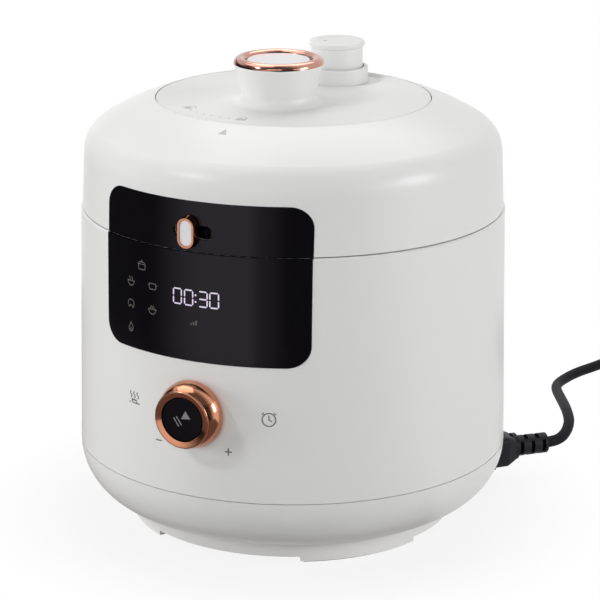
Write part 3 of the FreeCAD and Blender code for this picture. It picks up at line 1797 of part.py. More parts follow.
def coil_path():
    """Two layers of half turns: spiral in, climb in the tightest half turn, spiral out again."""
    points = cord_points()
    heading = (points[-1] - points[-2]).normalize()
    pitch = d.cord_diameter.number + d.coil_gap.number
    turns = round(d.coil_half_turns.number)
    steps = list(range(turns, 0, -1)) + [0] + list(range(1, turns + 1))
    lead = heading * d.cord_diameter.number
    here = points[-1] + lead
    edges = [Part.LineSegment(points[-1], here).toShape()]
    across = FreeCAD.Vector(heading.y, -heading.x, 0)
    for index, step in enumerate(steps):
        radius = d.coil_tight_radius.number + step * pitch / 2
        climb = pitch if step == 0 else 0
        side = across * math.sqrt(1 - (climb / (2 * radius)) ** 2)
        side.z = climb / (2 * radius)
        centre = here + side * radius
        for quarter in range(2):
            points_on_arc = []
            for share in (0, 0.5, 1):
                angle = math.pi / 2 * (quarter + share)
                offset = heading * math.sin(angle) - side * math.cos(angle)
                points_on_arc.append(centre + offset * radius)
            edges.append(Part.Arc(*points_on_arc).toShape())
        here = centre + side * radius
        heading = -heading
        across = -across
    end = here + heading * d.coil_tail.number
    edges.append(Part.LineSegment(here, end).toShape())
    return Part.Wire(edges), end, heading


def least_gap(path):
    """Least clear distance between stretches of the coil that are not neighbours along it."""
    spacing = d.cord_diameter.number / 3
    spots = path.discretize(Distance=spacing)
    skip = math.ceil(math.pi * d.coil_tight_radius.number / spacing)
    distances = []
    for index, spot in enumerate(spots):
        for other in spots[index + skip:]:
            distances.append(spot.distanceToPoint(other))
    return min(distances) - d.cord_diameter.number


def cord_coil():
    path, end, heading = coil_path()
    points = cord_points()
    piece = doc.addObject("Part::Feature", "cord_coil_tube")
    piece.Shape = cord_tube(path, points[-1], points[-1] - points[-2])
    piece.Placement = FreeCAD.Placement()
    section = math.pi * d.cord_diameter.number**2 / 4
    print(f"coil length {path.Length:.1f} gap {least_gap(path):.2f}")
    print(f"coil volume {piece.Shape.Volume:.1f} of {section * path.Length:.1f}")
    return node("cord_coil", piece)


def coil_frame(spot, heading):
    """A placement with X along a heading on the floor below a spot."""
    turn = FreeCAD.Rotation(FreeCAD.Vector(1, 0, 0), FreeCAD.Vector(heading.x, heading.y, 0))
    return FreeCAD.Placement(FreeCAD.Vector(spot.x, spot.y, 0), turn)


def coil_tie():
    """A strap round the turns beside the coil's end."""
    path, end, heading = coil_path()
    points = cord_points()
    radius = d.cord_diameter.number / 2
    pitch = d.cord_diameter.number + d.coil_gap.number
    gap = d.tie_gap.number
    wall = d.tie_wall.number
    half = d.tie_width.number / 2
    near = end - heading * d.coil_tail.number
    low = points[-1].z - radius - gap
    high = end.z + radius + gap
    side = radius + gap * 3
    inner = Part.makeBox(
        half * 4, side * 2 + pitch, high - low, FreeCAD.Vector(-half * 2, -side - pitch, low)
    )
    outer = Part.makeBox(
        half * 2,
        side * 2 + pitch + wall * 2,
        high - low + wall * 2,
        FreeCAD.Vector(-half, -side - pitch - wall, low - wall),
    )
    piece = doc.addObject("Part::Feature", "coil_tie_strap")
    piece.Shape = outer.cut(inner)
    piece.Placement = coil_frame(near, heading)
    return node("coil_tie", piece)


def slanted_blade(side, height, angle):
    """Outline of a flat pin whose long side leans from upright by an angle."""
    along = (sine(angle) * d.plug_pin_width / 2, cosine(angle) * d.plug_pin_width / 2)
    over = (cosine(angle) * d.plug_pin_wall / 2, -sine(angle) * d.plug_pin_wall / 2)
    return [
        (side - along[0] - over[0], height - along[1] - over[1]),
        (side - along[0] + over[0], height - along[1] + over[1]),
        (side + along[0] + over[0], height + along[1] + over[1]),
        (side + along[0] - over[0], height + along[1] - over[1]),
    ]


def plug():
    """Moulded plug beside the coil: ribbed strain relief, grip, block and three flat pins."""
    path, end, heading = coil_path()
    middle = coil_low + d.cord_diameter + d.coil_gap
    grip_end = d.plug_relief_length + d.plug_grip_length
    face = grip_end + d.plug_length
    block_face = rounded_rectangle(d.plug_half_width, as_size(0), middle * 2, d.plug_corner)
    pieces = [
        loft(
            "plug_grip_blend",
            rounded_rectangle(d.plug_grip, middle - d.plug_grip, middle + d.plug_grip, d.plug_corner),
            block_face,
            d.plug_relief_length,
            d.plug_grip_length,
        ),
        prism("plug_block", block_face, "YZ_Plane", grip_end, d.plug_length),
    ]
    blades = (
        (d.plug_pin_side, middle + d.plug_pin_lift, -d.plug_pin_slant),
        (-d.plug_pin_side, middle + d.plug_pin_lift, d.plug_pin_slant),
        (as_size(0), middle - d.plug_earth_drop, as_size(0)),
    )
    pin_length = d.plug_pin_length + d.sink
    for index, blade in enumerate(blades, start=1):
        pin = prism(f"plug_pin_{index}", slanted_blade(*blade), "YZ_Plane", face - d.sink, pin_length)
        pieces.append(pin)
    sleeve, slots = strain_relief(
        "plug_relief", d.plug_relief_end_radius, d.plug_relief_radius, d.plug_relief_length
    )
    spot = coil_frame(end, heading)
    for piece in pieces:
        piece.Placement = spot
    lying = FreeCAD.Placement(
        FreeCAD.Vector(0, 0, middle.number), FreeCAD.Rotation(FreeCAD.Vector(0, 1, 0), 90)
    )
    for piece in (sleeve, *slots):
        piece.Placement = spot.multiply(lying)
    return node("plug", fuse("plug_fused", cut("plug_relief_cut", sleeve, *slots), *pieces))


# Values that tie pieces of several groups together
base_floor_top = base_end_z + d.base_ledge_wall
flange_rim_top = liner_flange_top + d.flange_rim_wall
dial_seat = wall_radius(d.dial_height) - d.dial_seat_depth
board_front = d.body_top_radius - d.board_setback
board_top = liner_flange_top - d.liner_wall - d.board_gap
slider_rear = lid_wall_radius(d.slider_height) + d.panel_proud + d.slider_gap
lug_turn = as_size(FULL_TURN / 4)
pipe_low = dome_height(d.valve_offset, d.press_wall) - d.pipe_drop
pipe_top = dish_floor + d.pipe_rise
coil_low = d.tie_wall + d.tie_gap + d.cord_diameter / 2


for build in (
    base_shell, outer_shell, top_ring, base_plate, foot_pads, control_panel, inlet_socket, latch_plate,
    inner_liner, locking_flange, inner_pot, heating_plate, sensor_cup,
    power_board, control_board, display_module, encoder, dial_knob, start_button,
    hinge_base, hinge_pin, hinge_leaf,
    lid_shell, lid_panel, lid_liner, slider_bezel, slider_insert, latch_slide,
    turn_plate, knob_ring, knob_cap, turn_retainer, pressure_lid, sealing_gasket, vent_pipe, steam_shield,
    valve_collar, steam_valve, float_valve,
    connector, cord_run, cord_coil, coil_tie, plug,
):
    build()

doc.recompute()

# Nothing is written unless every object is sound
faults = []
for thing in doc.Objects:
    if "Invalid" in thing.State or "Error" in thing.State:
        faults.append(f"{thing.Label}: {thing.State}")
for label, thing in nodes.items():
    if thing.Shape.isNull() or not thing.Shape.isValid() or not thing.Shape.Solids:
        faults.append(f"{label}: no sound shape")
if faults:
    raise RuntimeError("; ".join(faults))

os.makedirs("parts", exist_ok=True)
for label, thing in nodes.items():
    thing.Shape.exportStep(f"parts/{label}.step")
    print(f"{label}: {len(thing.Shape.Solids)} solid, {thing.Shape.Volume / 1000:.2f} cm3")
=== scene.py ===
import math

import bpy
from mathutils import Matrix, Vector
from mathutils.bvhtree import BVHTree


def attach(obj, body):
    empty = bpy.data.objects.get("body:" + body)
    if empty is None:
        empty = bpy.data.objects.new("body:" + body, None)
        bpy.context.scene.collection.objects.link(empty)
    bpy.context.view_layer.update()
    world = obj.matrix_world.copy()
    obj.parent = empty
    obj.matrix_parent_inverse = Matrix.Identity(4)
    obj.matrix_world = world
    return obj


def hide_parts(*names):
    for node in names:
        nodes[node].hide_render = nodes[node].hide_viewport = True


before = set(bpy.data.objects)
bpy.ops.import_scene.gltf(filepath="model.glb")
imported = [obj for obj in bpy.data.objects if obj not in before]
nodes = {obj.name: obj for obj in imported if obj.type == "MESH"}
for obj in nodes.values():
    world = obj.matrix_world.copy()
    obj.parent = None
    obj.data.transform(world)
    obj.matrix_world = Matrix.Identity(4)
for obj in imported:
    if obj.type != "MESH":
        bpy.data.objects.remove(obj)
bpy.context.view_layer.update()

scene = bpy.context.scene
MM = 0.001


# Small helpers
def put(name, data):
    """A new object in the scene."""
    made = bpy.data.objects.new(name, data)
    scene.collection.objects.link(made)
    return made


def put_mesh(name, spots, faces, material):
    """A new object with a mesh of its own in one material."""
    mesh = bpy.data.meshes.new(name)
    mesh.from_pydata(spots, [], faces)
    mesh.materials.append(material)
    return put(name, mesh)


def off_front(angle):
    """The level direction at an angle off the front."""
    return Vector((math.sin(angle), -math.cos(angle), 0))


# Camera, at the photograph's viewing angle
CAMERA_PLACE = (0.77643, -1.59193, 0.68425)
CAMERA_TURN = (73.2291, -0.1707, 25.8938)
CAMERA_LENS = 159.98
CAMERA_SENSOR = 36
CAMERA_REACH = 100


def place_camera():
    data = bpy.data.cameras.new("photo_camera")
    data.sensor_width = CAMERA_SENSOR
    data.lens = CAMERA_LENS
    data.clip_end = CAMERA_REACH
    camera = put("photo_camera", data)
    camera.location = CAMERA_PLACE
    camera.rotation_euler = [math.radians(turn) for turn in CAMERA_TURN]
    scene.camera = camera


place_camera()


# Shader helpers, and the places of the colour sockets on a Mix node
MIX_SHARE = 0
MIX_FIRST = 6
MIX_SECOND = 7
MIX_COLOUR = 2


def add(tree, kind, **values):
    """A node of a kind, with attributes and input values by name."""
    made = tree.nodes.new(kind)
    for key, value in values.items():
        if key in made.inputs:
            made.inputs[key].default_value = value
        else:
            setattr(made, key, value)
    return made


def join(tree, out_socket, in_socket):
    tree.links.new(out_socket, in_socket)


def feed(tree, value, socket):
    """Sets a socket to a plain number, or joins another socket to it."""
    if isinstance(value, (int, float)):
        socket.default_value = value
    else:
        join(tree, value, socket)


def math_node(tree, operation, first, second):
    """A math node whose two inputs are sockets or plain numbers."""
    made = add(tree, "ShaderNodeMath", operation=operation)
    feed(tree, first, made.inputs[0])
    feed(tree, second, made.inputs[1])
    return made.outputs[0]


def spread(tree, value, low, high):
    """A value from 0 to 1 taken to a range."""
    made = add(tree, "ShaderNodeMapRange")
    made.inputs["To Min"].default_value = low
    made.inputs["To Max"].default_value = high
    join(tree, value, made.inputs["Value"])
    return made.outputs["Result"]


def eased(tree, value, start, finish, low=0):
    """A number that eases from low to one as a value passes between two marks."""
    made = add(tree, "ShaderNodeMapRange", interpolation_type="SMOOTHSTEP")
    for label, number in (("From Min", start), ("From Max", finish), ("To Min", low)):
        made.inputs[label].default_value = number
    join(tree, value, made.inputs["Value"])
    return made.outputs["Result"]


def mixed(tree, share, first, second):
    """A colour between two, each of them a tone or a socket."""
    mix = add(tree, "ShaderNodeMix", data_type="RGBA")
    join(tree, share, mix.inputs[MIX_SHARE])
    for place, colour in ((MIX_FIRST, first), (MIX_SECOND, second)):
        if isinstance(colour, tuple):
            mix.inputs[place].default_value = (*colour, 1)
        else:
            join(tree, colour, mix.inputs[place])
    return mix.outputs[MIX_COLOUR]


def new_group(name, inputs, outputs):
    """A shader node group with float inputs and outputs that have names."""
    group = bpy.data.node_groups.new(name, "ShaderNodeTree")
    for label, value in inputs.items():
        socket = group.interface.new_socket(label, in_out="INPUT", socket_type="NodeSocketFloat")
        socket.default_value = value
    for label in outputs:
        group.interface.new_socket(label, in_out="OUTPUT", socket_type="NodeSocketFloat")
    return group, group.nodes.new("NodeGroupInput"), group.nodes.new("NodeGroupOutput")


def noise(tree, vector, scale, detail):
    """A noise texture's value; scale is a socket or a number of lumps per metre."""
    made = add(tree, "ShaderNodeTexNoise", Detail=detail)
    join(tree, vector, made.inputs["Vector"])
    feed(tree, scale, made.inputs["Scale"])
    return made.outputs["Fac"]


# Usual skin of a moulded part, and how the faint handling smears lie on it
USUAL_GRAIN = 2500
USUAL_DRIFT = 14
SMEAR_TURN = (0.3, 0.5, 0.2)
SMEAR_STRETCH = (1, 3, 1)
SMEARS_PER_METRE = 35
SMEAR_MARKS = (0.45, 0.75)
# Usual skin of turned metal, and how far its roughness strays to either side
USUAL_RINGS = 900
PATCHES_PER_METRE = 6
ROUGHNESS_STRAYS = 0.3
BUMP_DISTANCE = 0.0002


def moulded_skin_group():
    """Skin of a moulded part: fine grain for the bump, slow drift of tone, and faint handling smears."""
    sizes = {"Grain per metre": USUAL_GRAIN, "Drift per metre": USUAL_DRIFT}
    group, start, end = new_group("moulded_skin", sizes, ("Grain", "Drift", "Smear"))
    where = add(group, "ShaderNodeTexCoord").outputs["Object"]
    grain = noise(group, where, start.outputs["Grain per metre"], detail=3)
    drift = noise(group, where, start.outputs["Drift per metre"], detail=1)
    stretch = add(group, "ShaderNodeMapping", Rotation=SMEAR_TURN, Scale=SMEAR_STRETCH)
    join(group, where, stretch.inputs["Vector"])
    smear = noise(group, stretch.outputs["Vector"], SMEARS_PER_METRE, detail=4)
    join(group, grain, end.inputs["Grain"])
    join(group, drift, end.inputs["Drift"])
    join(group, eased(group, smear, *SMEAR_MARKS), end.inputs["Smear"])
    return group


def turned_lines_group():
    """Fine rings round the upright axis, as a lathe or a polishing wheel leaves on metal."""
    sizes = {"Rings per metre": USUAL_RINGS, "Patches per metre": PATCHES_PER_METRE}
    group, start, end = new_group("turned_lines", sizes, ("Line", "Patch"))
    where = add(group, "ShaderNodeTexCoord").outputs["Object"]
    parts = add(group, "ShaderNodeSeparateXYZ")
    join(group, where, parts.inputs[0])
    level = add(group, "ShaderNodeCombineXYZ")
    join(group, parts.outputs["X"], level.inputs["X"])
    join(group, parts.outputs["Y"], level.inputs["Y"])
    reach = add(group, "ShaderNodeVectorMath", operation="LENGTH")
    join(group, level.outputs[0], reach.inputs[0])
    along = add(group, "ShaderNodeCombineXYZ")
    join(group, reach.outputs["Value"], along.inputs["X"])
    join(group, parts.outputs["Z"], along.inputs["Y"])
    line = noise(group, along.outputs[0], start.outputs["Rings per metre"], detail=4)
    patch = noise(group, where, start.outputs["Patches per metre"], detail=2)
    join(group, line, end.inputs["Line"])
    join(group, patch, end.inputs["Patch"])
    return group


SKIN = moulded_skin_group()
LINES = turned_lines_group()
# Every finish by its name
FINISH = {}


def shader_material(name, **sockets):
    """A material with one Principled shader whose plain values sit on its own sockets."""
    made = bpy.data.materials.new(name)
    made.use_nodes = True
    shader = made.node_tree.nodes["Principled BSDF"]
    for key, value in sockets.items():
        label = key.replace("_", " ")
        shader.inputs[label].default_value = (*value, 1) if isinstance(value, tuple) else value
    return made, made.node_tree, shader


def bump(tree, shader, height, strength):
    made = add(tree, "ShaderNodeBump", Strength=strength, Distance=BUMP_DISTANCE)
    join(tree, height, made.inputs["Height"])
    join(tree, made.outputs["Normal"], shader.inputs["Normal"])


def moulded(name, first, second, rough, grain, drift=USUAL_DRIFT, depth=0.1, smear=0.05, **sockets):
    """Moulded plastic, rubber or coating: two close tones, fine grain, roughness that drifts."""
    made, tree, shader = shader_material(name, **sockets)
    skin = add(tree, "ShaderNodeGroup", node_tree=SKIN)
    skin.inputs["Grain per metre"].default_value = grain
    skin.inputs["Drift per metre"].default_value = drift
    join(tree, mixed(tree, skin.outputs["Drift"], first, second), shader.inputs["Base Color"])
    worn = math_node(tree, "MULTIPLY", skin.outputs["Smear"], smear)
    join(tree, math_node(tree, "ADD", worn, rough), shader.inputs["Roughness"])
    bump(tree, shader, skin.outputs["Grain"], depth)
    FINISH[name] = made


def metal(name, first, second, rough, rings, depth):
    """Plated or turned metal: lines round the axis, patches of slightly different polish."""
    made, tree, shader = shader_material(name, Metallic=1.0)
    lines = add(tree, "ShaderNodeGroup", node_tree=LINES)
    lines.inputs["Rings per metre"].default_value = rings
    patch = lines.outputs["Patch"]
    join(tree, mixed(tree, patch, first, second), shader.inputs["Base Color"])
    least = rough * (1 - ROUGHNESS_STRAYS)
    most = rough * (1 + ROUGHNESS_STRAYS)
    join(tree, spread(tree, patch, least, most), shader.inputs["Roughness"])
    bump(tree, shader, lines.outputs["Line"], depth)
    FINISH[name] = made


moulded("white_gloss", (0.80, 0.805, 0.795), (0.82, 0.82, 0.81), rough=0.33, grain=2600, depth=0.05)
moulded("white_matt", (0.83, 0.825, 0.81), (0.85, 0.845, 0.83), rough=0.5, grain=1800, depth=0.12)
moulded(
    "pearl_white", (0.80, 0.80, 0.825), (0.83, 0.825, 0.85), rough=0.22, grain=3000, depth=0.03,
    Coat_Weight=0.3,
)
moulded("pale_grey", (0.56, 0.565, 0.57), (0.60, 0.60, 0.605), rough=0.45, grain=1500, depth=0.18)
moulded(
    "black_gloss", (0.0042, 0.0036, 0.0050), (0.0055, 0.0050, 0.0068), rough=0.10, grain=900, depth=0.006,
    smear=0.1, IOR=1.33, Specular_Tint=(0.95, 0.86, 1.0),
)
metal("copper_plate", (0.64, 0.275, 0.165), (0.68, 0.305, 0.185), rough=0.13, rings=700, depth=0.015)
metal("rose_plate", (0.50, 0.255, 0.195), (0.54, 0.28, 0.22), rough=0.13, rings=700, depth=0.015)
metal("pin_plate", (0.70, 0.68, 0.62), (0.76, 0.74, 0.69), rough=0.2, rings=1200, depth=0.04)
metal("steel", (0.60, 0.60, 0.60), (0.68, 0.68, 0.675), rough=0.26, rings=1400, depth=0.10)
metal("aluminium", (0.66, 0.66, 0.67), (0.72, 0.72, 0.725), rough=0.36, rings=900, depth=0.10)
moulded(
    "dark_coating", (0.030, 0.030, 0.032), (0.060, 0.060, 0.064), rough=0.36, grain=1100, depth=0.25,
    drift=900,
)
moulded("silicone", (0.62, 0.63, 0.63), (0.68, 0.69, 0.69), rough=0.48, grain=1600, Subsurface_Weight=0.15)
moulded("grey_rubber", (0.30, 0.30, 0.30), (0.36, 0.36, 0.355), rough=0.7, grain=1200, depth=0.3)
moulded(
    "cord_black", (0.014, 0.014, 0.017), (0.020, 0.020, 0.024), rough=0.6, grain=1400, depth=0.2,
    Specular_IOR_Level=0.05,
)
moulded(
    "black_plastic", (0.008, 0.008, 0.011), (0.013, 0.013, 0.017), rough=0.48, grain=1700, depth=0.18,
    Specular_IOR_Level=0.15,
)
moulded("board_green", (0.015, 0.11, 0.05), (0.02, 0.15, 0.07), rough=0.35, grain=500, depth=0.2)
moulded("display_dark", (0.010, 0.010, 0.012), (0.016, 0.016, 0.018), rough=0.2, grain=900, depth=0.02)

for piece in nodes.values():
    finish = piece.data.materials[0].name.split(".")[0]
    piece.data.materials[0] = FINISH[finish]
# The ring on the knob has a rosier plating than the dial
nodes["knob_ring"].data.materials[0] = FINISH["rose_plate"]


# The mains cord: one smooth line from the strain relief over the floor and round the coil
CORD_DIAMETER = 0.008
CORD_EXIT = Vector((0.137886, 0.137886, 0.0233))
CORD_LEAD = Vector((0.142411, 0.142411, 0.0233))
# Offsets from the exit, and heights above the floor
CORD_TURNS = [
    (0.0081, 0.0120, 0.0243),
    (0.0084, 0.0225, 0.0263),
    (0.0048, 0.0375, 0.0283),
    (-0.0025, 0.0540, 0.0280),
    (-0.0146, 0.0810, 0.0236),
    (-0.0326, 0.1196, 0.0160),
    (-0.0513, 0.1600, 0.0081),
    (-0.0575, 0.1785, 0.0053),
    (-0.0587, 0.1950, 0.0042),
    (-0.0555, 0.2175, 0.0042),
    (-0.0455, 0.2415, 0.0047),
    (-0.0375, 0.2695, 0.0053),
    (-0.0315, 0.2945, 0.0053),
]
CORD_BEVEL_STEPS = 6
CORD_STEPS_PER_SPOT = 10
CORD_ORDER = 3
COIL_TIGHT_RADIUS = 0.036
COIL_GAP = 0.0006
COIL_TAIL = 0.024
SPOTS_PER_HALF_TURN = 8
# From the cord's end to just past the face that the pins stand on
PLUG_FACE = 0.0542


def coil_spots(start, heading):
    """Half turns that spiral in, climb by a cord's width in the tightest one and spiral out again."""
    pitch = CORD_DIAMETER + COIL_GAP
    grow = 1 / math.cos(math.pi / SPOTS_PER_HALF_TURN / 2)
    here = start + heading * CORD_DIAMETER
    across = Vector((heading.y, -heading.x, 0))
    spots = []
    for step in (2, 1, 0, 1, 2):
        radius = COIL_TIGHT_RADIUS + step * pitch / 2
        rise = pitch / (2 * radius) if step == 0 else 0
        side = across * math.sqrt(1 - rise**2) + Vector((0, 0, rise))
        centre = here + side * radius
        for index in range(SPOTS_PER_HALF_TURN):
            angle = math.pi * (index + 0.5) / SPOTS_PER_HALF_TURN
            spots.append(centre + (heading * math.sin(angle) - side * math.cos(angle)) * radius * grow)
        here = centre + side * radius
        heading = -heading
        across = -across
    spots.append(here + heading * COIL_TAIL / 2)
    spots.append(here + heading * COIL_TAIL)
    return spots


def cord_spots():
    spots = [CORD_EXIT, CORD_LEAD]
    for x, y, z in CORD_TURNS:
        spots.append(Vector((CORD_EXIT.x + x, CORD_EXIT.y + y, z)))
    return spots + coil_spots(spots[-1], (spots[-1] - spots[-2]).normalized())


def dress_plug(end, heading):
    """The plug in two finishes: black moulding up to its face, and plated pins beyond it."""
    mesh = nodes["plug"].data.copy()
    mesh.name = "mains_plug"
    mesh.materials.clear()
    mesh.materials.append(FINISH["black_plastic"])
    mesh.materials.append(FINISH["pin_plate"])
    for face in mesh.polygons:
        reach = (face.center - end).dot(heading)
        face.material_index = 1 if reach > PLUG_FACE else 0
    plug = put("mains_plug", mesh)
    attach(plug, "cooker_body")
    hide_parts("plug")
    return plug


def lay_cord():
    spots = cord_spots()
    plug = dress_plug(spots[-1], (spots[-1] - spots[-2]).normalized())
    curve = bpy.data.curves.new("mains_cord", "CURVE")
    curve.dimensions = "3D"
    curve.bevel_depth = CORD_DIAMETER / 2
    curve.bevel_resolution = CORD_BEVEL_STEPS
    curve.resolution_u = CORD_STEPS_PER_SPOT
    curve.use_fill_caps = True
    line = curve.splines.new("NURBS")
    line.points.add(len(spots) - 1)
    for point, spot in zip(line.points, spots):
        point.co = (*spot, 1)
    line.order_u = CORD_ORDER
    line.use_endpoint_u = True
    cord = put("mains_cord", curve)
    curve.materials.append(FINISH["cord_black"])
    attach(cord, "cooker_body")
    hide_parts("cord_run", "cord_coil")


lay_cord()


# Printed marks, which are thin plates that follow the surface under them, drawn in millimetres
WALL_RADIUS = 146
POT_RADIUS = 102
# Rays towards a surface start this many metres out from the axis, or above the floor
RAY_START = 0.3
RAY_START_ABOVE = 0.4
DOWN = Vector((0, 0, -1))
BACKWARD = Vector((0, 1, 0))


def skin_of(name):
    """A search tree over the surface of a CAD node."""
    mesh = nodes[name].data
    spots = [vertex.co.copy() for vertex in mesh.vertices]
    faces = [list(face.vertices) for face in mesh.polygons]
    return BVHTree.FromPolygons(spots, faces)


def on_wall(skin, degrees, height):
    """Marks on an upright wall: across is the arc from an angle off the front, up is from a height."""
    def spot(across, up):
        outward = off_front(math.radians(degrees) + across / WALL_RADIUS)
        start = outward * RAY_START + Vector((0, 0, (height + up) * MM))
        return skin.ray_cast(start, -outward)[:2]
    return spot


def on_top(skin, degrees, radius):
    """Marks seen from above: up points at the axis."""
    angle = math.radians(degrees)
    outward = off_front(angle)
    sideways = Vector((math.cos(angle), math.sin(angle), 0))

    def spot(across, up):
        where = outward * (radius - up) * MM + sideways * across * MM
        return skin.ray_cast(where + Vector((0, 0, RAY_START_ABOVE)), DOWN)[:2]
    return spot


def on_front(skin, height):
    """Marks on a face that looks to the front."""
    def spot(across, up):
        return skin.ray_cast(Vector((across * MM, -RAY_START, (height + up) * MM)), BACKWARD)[:2]
    return spot


def in_pot(skin, degrees, height):
    """Marks on the inside of the pot's wall, seen from the axis."""
    def spot(across, up):
        outward = off_front(math.radians(degrees) - across / POT_RADIUS)
        return skin.ray_cast(Vector((0, 0, (height + up) * MM)), outward)[:2]
    return spot


class Print:
    """Raised marks of one colour on one body."""

    PROUD = 0.07 * MM
    SUNK = 0.12 * MM
    # Limits how far a sharp corner of a line widens
    LEAST_CORNER = 0.5

    def __init__(self):
        self.spots = []
        self.faces = []

    def lift(self, spot, outline):
        """Top and bottom corners for an outline."""
        tops = []
        bottoms = []
        for across, up in outline:
            hit, normal = spot(across, up)
            tops.append(len(self.spots))
            self.spots.append(hit + normal * self.PROUD)
            bottoms.append(len(self.spots))
            self.spots.append(hit - normal * self.SUNK)
        return tops, bottoms

    def patch(self, spot, outline):
        """A filled shape; its corners run anticlockwise."""
        tops, bottoms = self.lift(spot, outline)
        self.faces.append(tops)
        self.faces.append(bottoms[::-1])
        for index in range(len(outline)):
            last = index - 1
            self.faces.append([tops[last], bottoms[last], bottoms[index], tops[index]])

    def stroke(self, spot, line, width, closed=False):
        """A line of a width along points."""
        left = []
        right = []
        count = len(line)
        for index, (across, up) in enumerate(line):
            before = line[index - 1] if closed or index else line[index]
            after = line[(index + 1) % count] if closed or index < count - 1 else line[index]
            run = Vector((after[0] - before[0], after[1] - before[1])).normalized()
            half = width / 2
            if before != line[index] != after:
                first = Vector((across - before[0], up - before[1])).normalized()
                half /= max(self.LEAST_CORNER, first.dot(run))
            left.append((across - run.y * half, up + run.x * half))
            right.append((across + run.y * half, up - run.x * half))
        left_top, left_low = self.lift(spot, left)
        right_top, right_low = self.lift(spot, right)
        for index in range(0 if closed else 1, count):
            last = index - 1
            self.faces.append([left_top[last], right_top[last], right_top[index], left_top[index]])
            self.faces.append([left_low[index], right_low[index], right_low[last], left_low[last]])
            self.faces.append([left_low[last], left_top[last], left_top[index], left_low[index]])
            self.faces.append([right_top[last], right_low[last], right_low[index], right_top[index]])
        if not closed:
            self.faces.append([left_top[0], left_low[0], right_low[0], right_top[0]])
            self.faces.append([left_top[-1], right_top[-1], right_low[-1], left_low[-1]])

    def finish(self, name, material, body, slot):
        piece = put_mesh(name, self.spots, self.faces, material)
        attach(piece, body)


def arc(centre, radius, start, finish, count):
    """Points round part of a circle, angles in degrees."""
    line = []
    for index in range(count + 1):
        angle = math.radians(start + (finish - start) * index / count)
        line.append((centre[0] + radius * math.cos(angle), centre[1] + radius * math.sin(angle)))
    return line


def ring(centre, radius, count):
    return arc(centre, radius, 0, 360, count)[:-1]


def box(left, low, right, top):
    return [(left, low), (right, low), (right, top), (left, top)]


def square(centre, half):
    x, y = centre
    return box(x - half, y - half, x + half, y + half)


# Pens for the marks, and the tones of their inks
PANEL_PEN = 0.55
CASING_PEN = 0.8
SIGN_PEN = 0.9
BUTTON_PEN = 0.75
LOCK_PEN = 0.9
POT_PEN = 0.9
POT_FIGURE_PEN = 0.8
INK_WEAR = 0.9


def printed(name, tone):
    """Printing ink: a tone that wears a little thinner in places."""
    darker = tuple(part * INK_WEAR for part in tone)
    moulded(name, darker, tone, rough=0.45, grain=1500, drift=400, depth=0.05)


printed("panel_ink", (0.13, 0.128, 0.12))
printed("casing_ink", (0.17, 0.17, 0.168))
printed("lid_ink", (0.52, 0.525, 0.53))
printed("button_ink", (0.24, 0.24, 0.26))
printed("pot_ink", (0.45, 0.45, 0.45))

# Light of the display
DIGITS_UNLIT = (0.05, 0.045, 0.06)
DIGITS_DIM = (0.64, 0.53, 0.73)
DIGITS_BRIGHT = (0.80, 0.73, 0.86)
DIGITS_DRIFT = 300


def lit_digits_material():
    """Pale violet light, a little uneven along the segments."""
    made, tree, shader = shader_material(
        "lit_digits", Base_Color=DIGITS_UNLIT, Roughness=0.3, Emission_Strength=1.0
    )
    skin = add(tree, "ShaderNodeGroup", node_tree=SKIN)
    skin.inputs["Drift per metre"].default_value = DIGITS_DRIFT
    glow = mixed(tree, skin.outputs["Drift"], DIGITS_DIM, DIGITS_BRIGHT)
    join(tree, glow, shader.inputs["Emission Color"])
    return made


# Segments of a figure, each from corner to corner of a box two units wide and four high
SEGMENTS = {
    "top": ((-1, 2), (1, 2)),
    "upper_right": ((1, 2), (1, 0)),
    "lower_right": ((1, 0), (1, -2)),
    "bottom": ((1, -2), (-1, -2)),
    "lower_left": ((-1, -2), (-1, 0)),
    "upper_left": ((-1, 0), (-1, 2)),
    "middle": ((-1, 0), (1, 0)),
}
ZERO = ("top", "upper_right", "lower_right", "bottom", "lower_left", "upper_left")
THREE = ("top", "upper_right", "middle", "lower_right", "bottom")
FIGURES = {
    1: ("upper_right", "lower_right"),
    2: ("top", "upper_right", "middle", "lower_left", "bottom"),
    3: THREE,
    4: ("upper_left", "middle", "upper_right", "lower_right"),
}


# The time: its angle off the front and its height, then its figures by their distance from its middle
TIME_AT = (0.4, 191.0)
TIME_FIGURES = ((-12.95, ZERO), (-4.5, ZERO), (5.8, THREE), (13.7, ZERO))
COLON_DOTS = ((0.55, -2.2), (0.55, 2.2))
COLON_HALF = 0.55
LIT_HALF_WIDTH = 3.0
LIT_HALF_HEIGHT = 2.5
LIT_HALF_STROKE = 0.45
LIT_GAP = 0.3


def lit_figure(marks, spot, centre, segments):
    for name in segments:
        (start_x, start_y), (end_x, end_y) = SEGMENTS[name]
        start = Vector((centre + start_x * LIT_HALF_WIDTH, start_y * LIT_HALF_HEIGHT))
        end = Vector((centre + end_x * LIT_HALF_WIDTH, end_y * LIT_HALF_HEIGHT))
        run = (end - start).normalized()
        over = Vector((-run.y, run.x)) * LIT_HALF_STROKE
        along = run * LIT_HALF_STROKE
        first = start + run * LIT_GAP
        last = end - run * LIT_GAP
        outline = [
            first,
            first + along - over,
            last - along - over,
            last,
            last - along + over,
            first + along + over,
        ]
        marks.patch(spot, [tuple(corner) for corner in outline])


def show_time():
    marks = Print()
    spot = on_wall(skin_of("control_panel"), *TIME_AT)
    for centre, segments in TIME_FIGURES:
        lit_figure(marks, spot, centre, segments)
    for dot in COLON_DOTS:
        marks.patch(spot, square(dot, COLON_HALF))
    marks.finish("time_digits", lit_digits_material(), "cooker_body", "display_dark")


show_time()


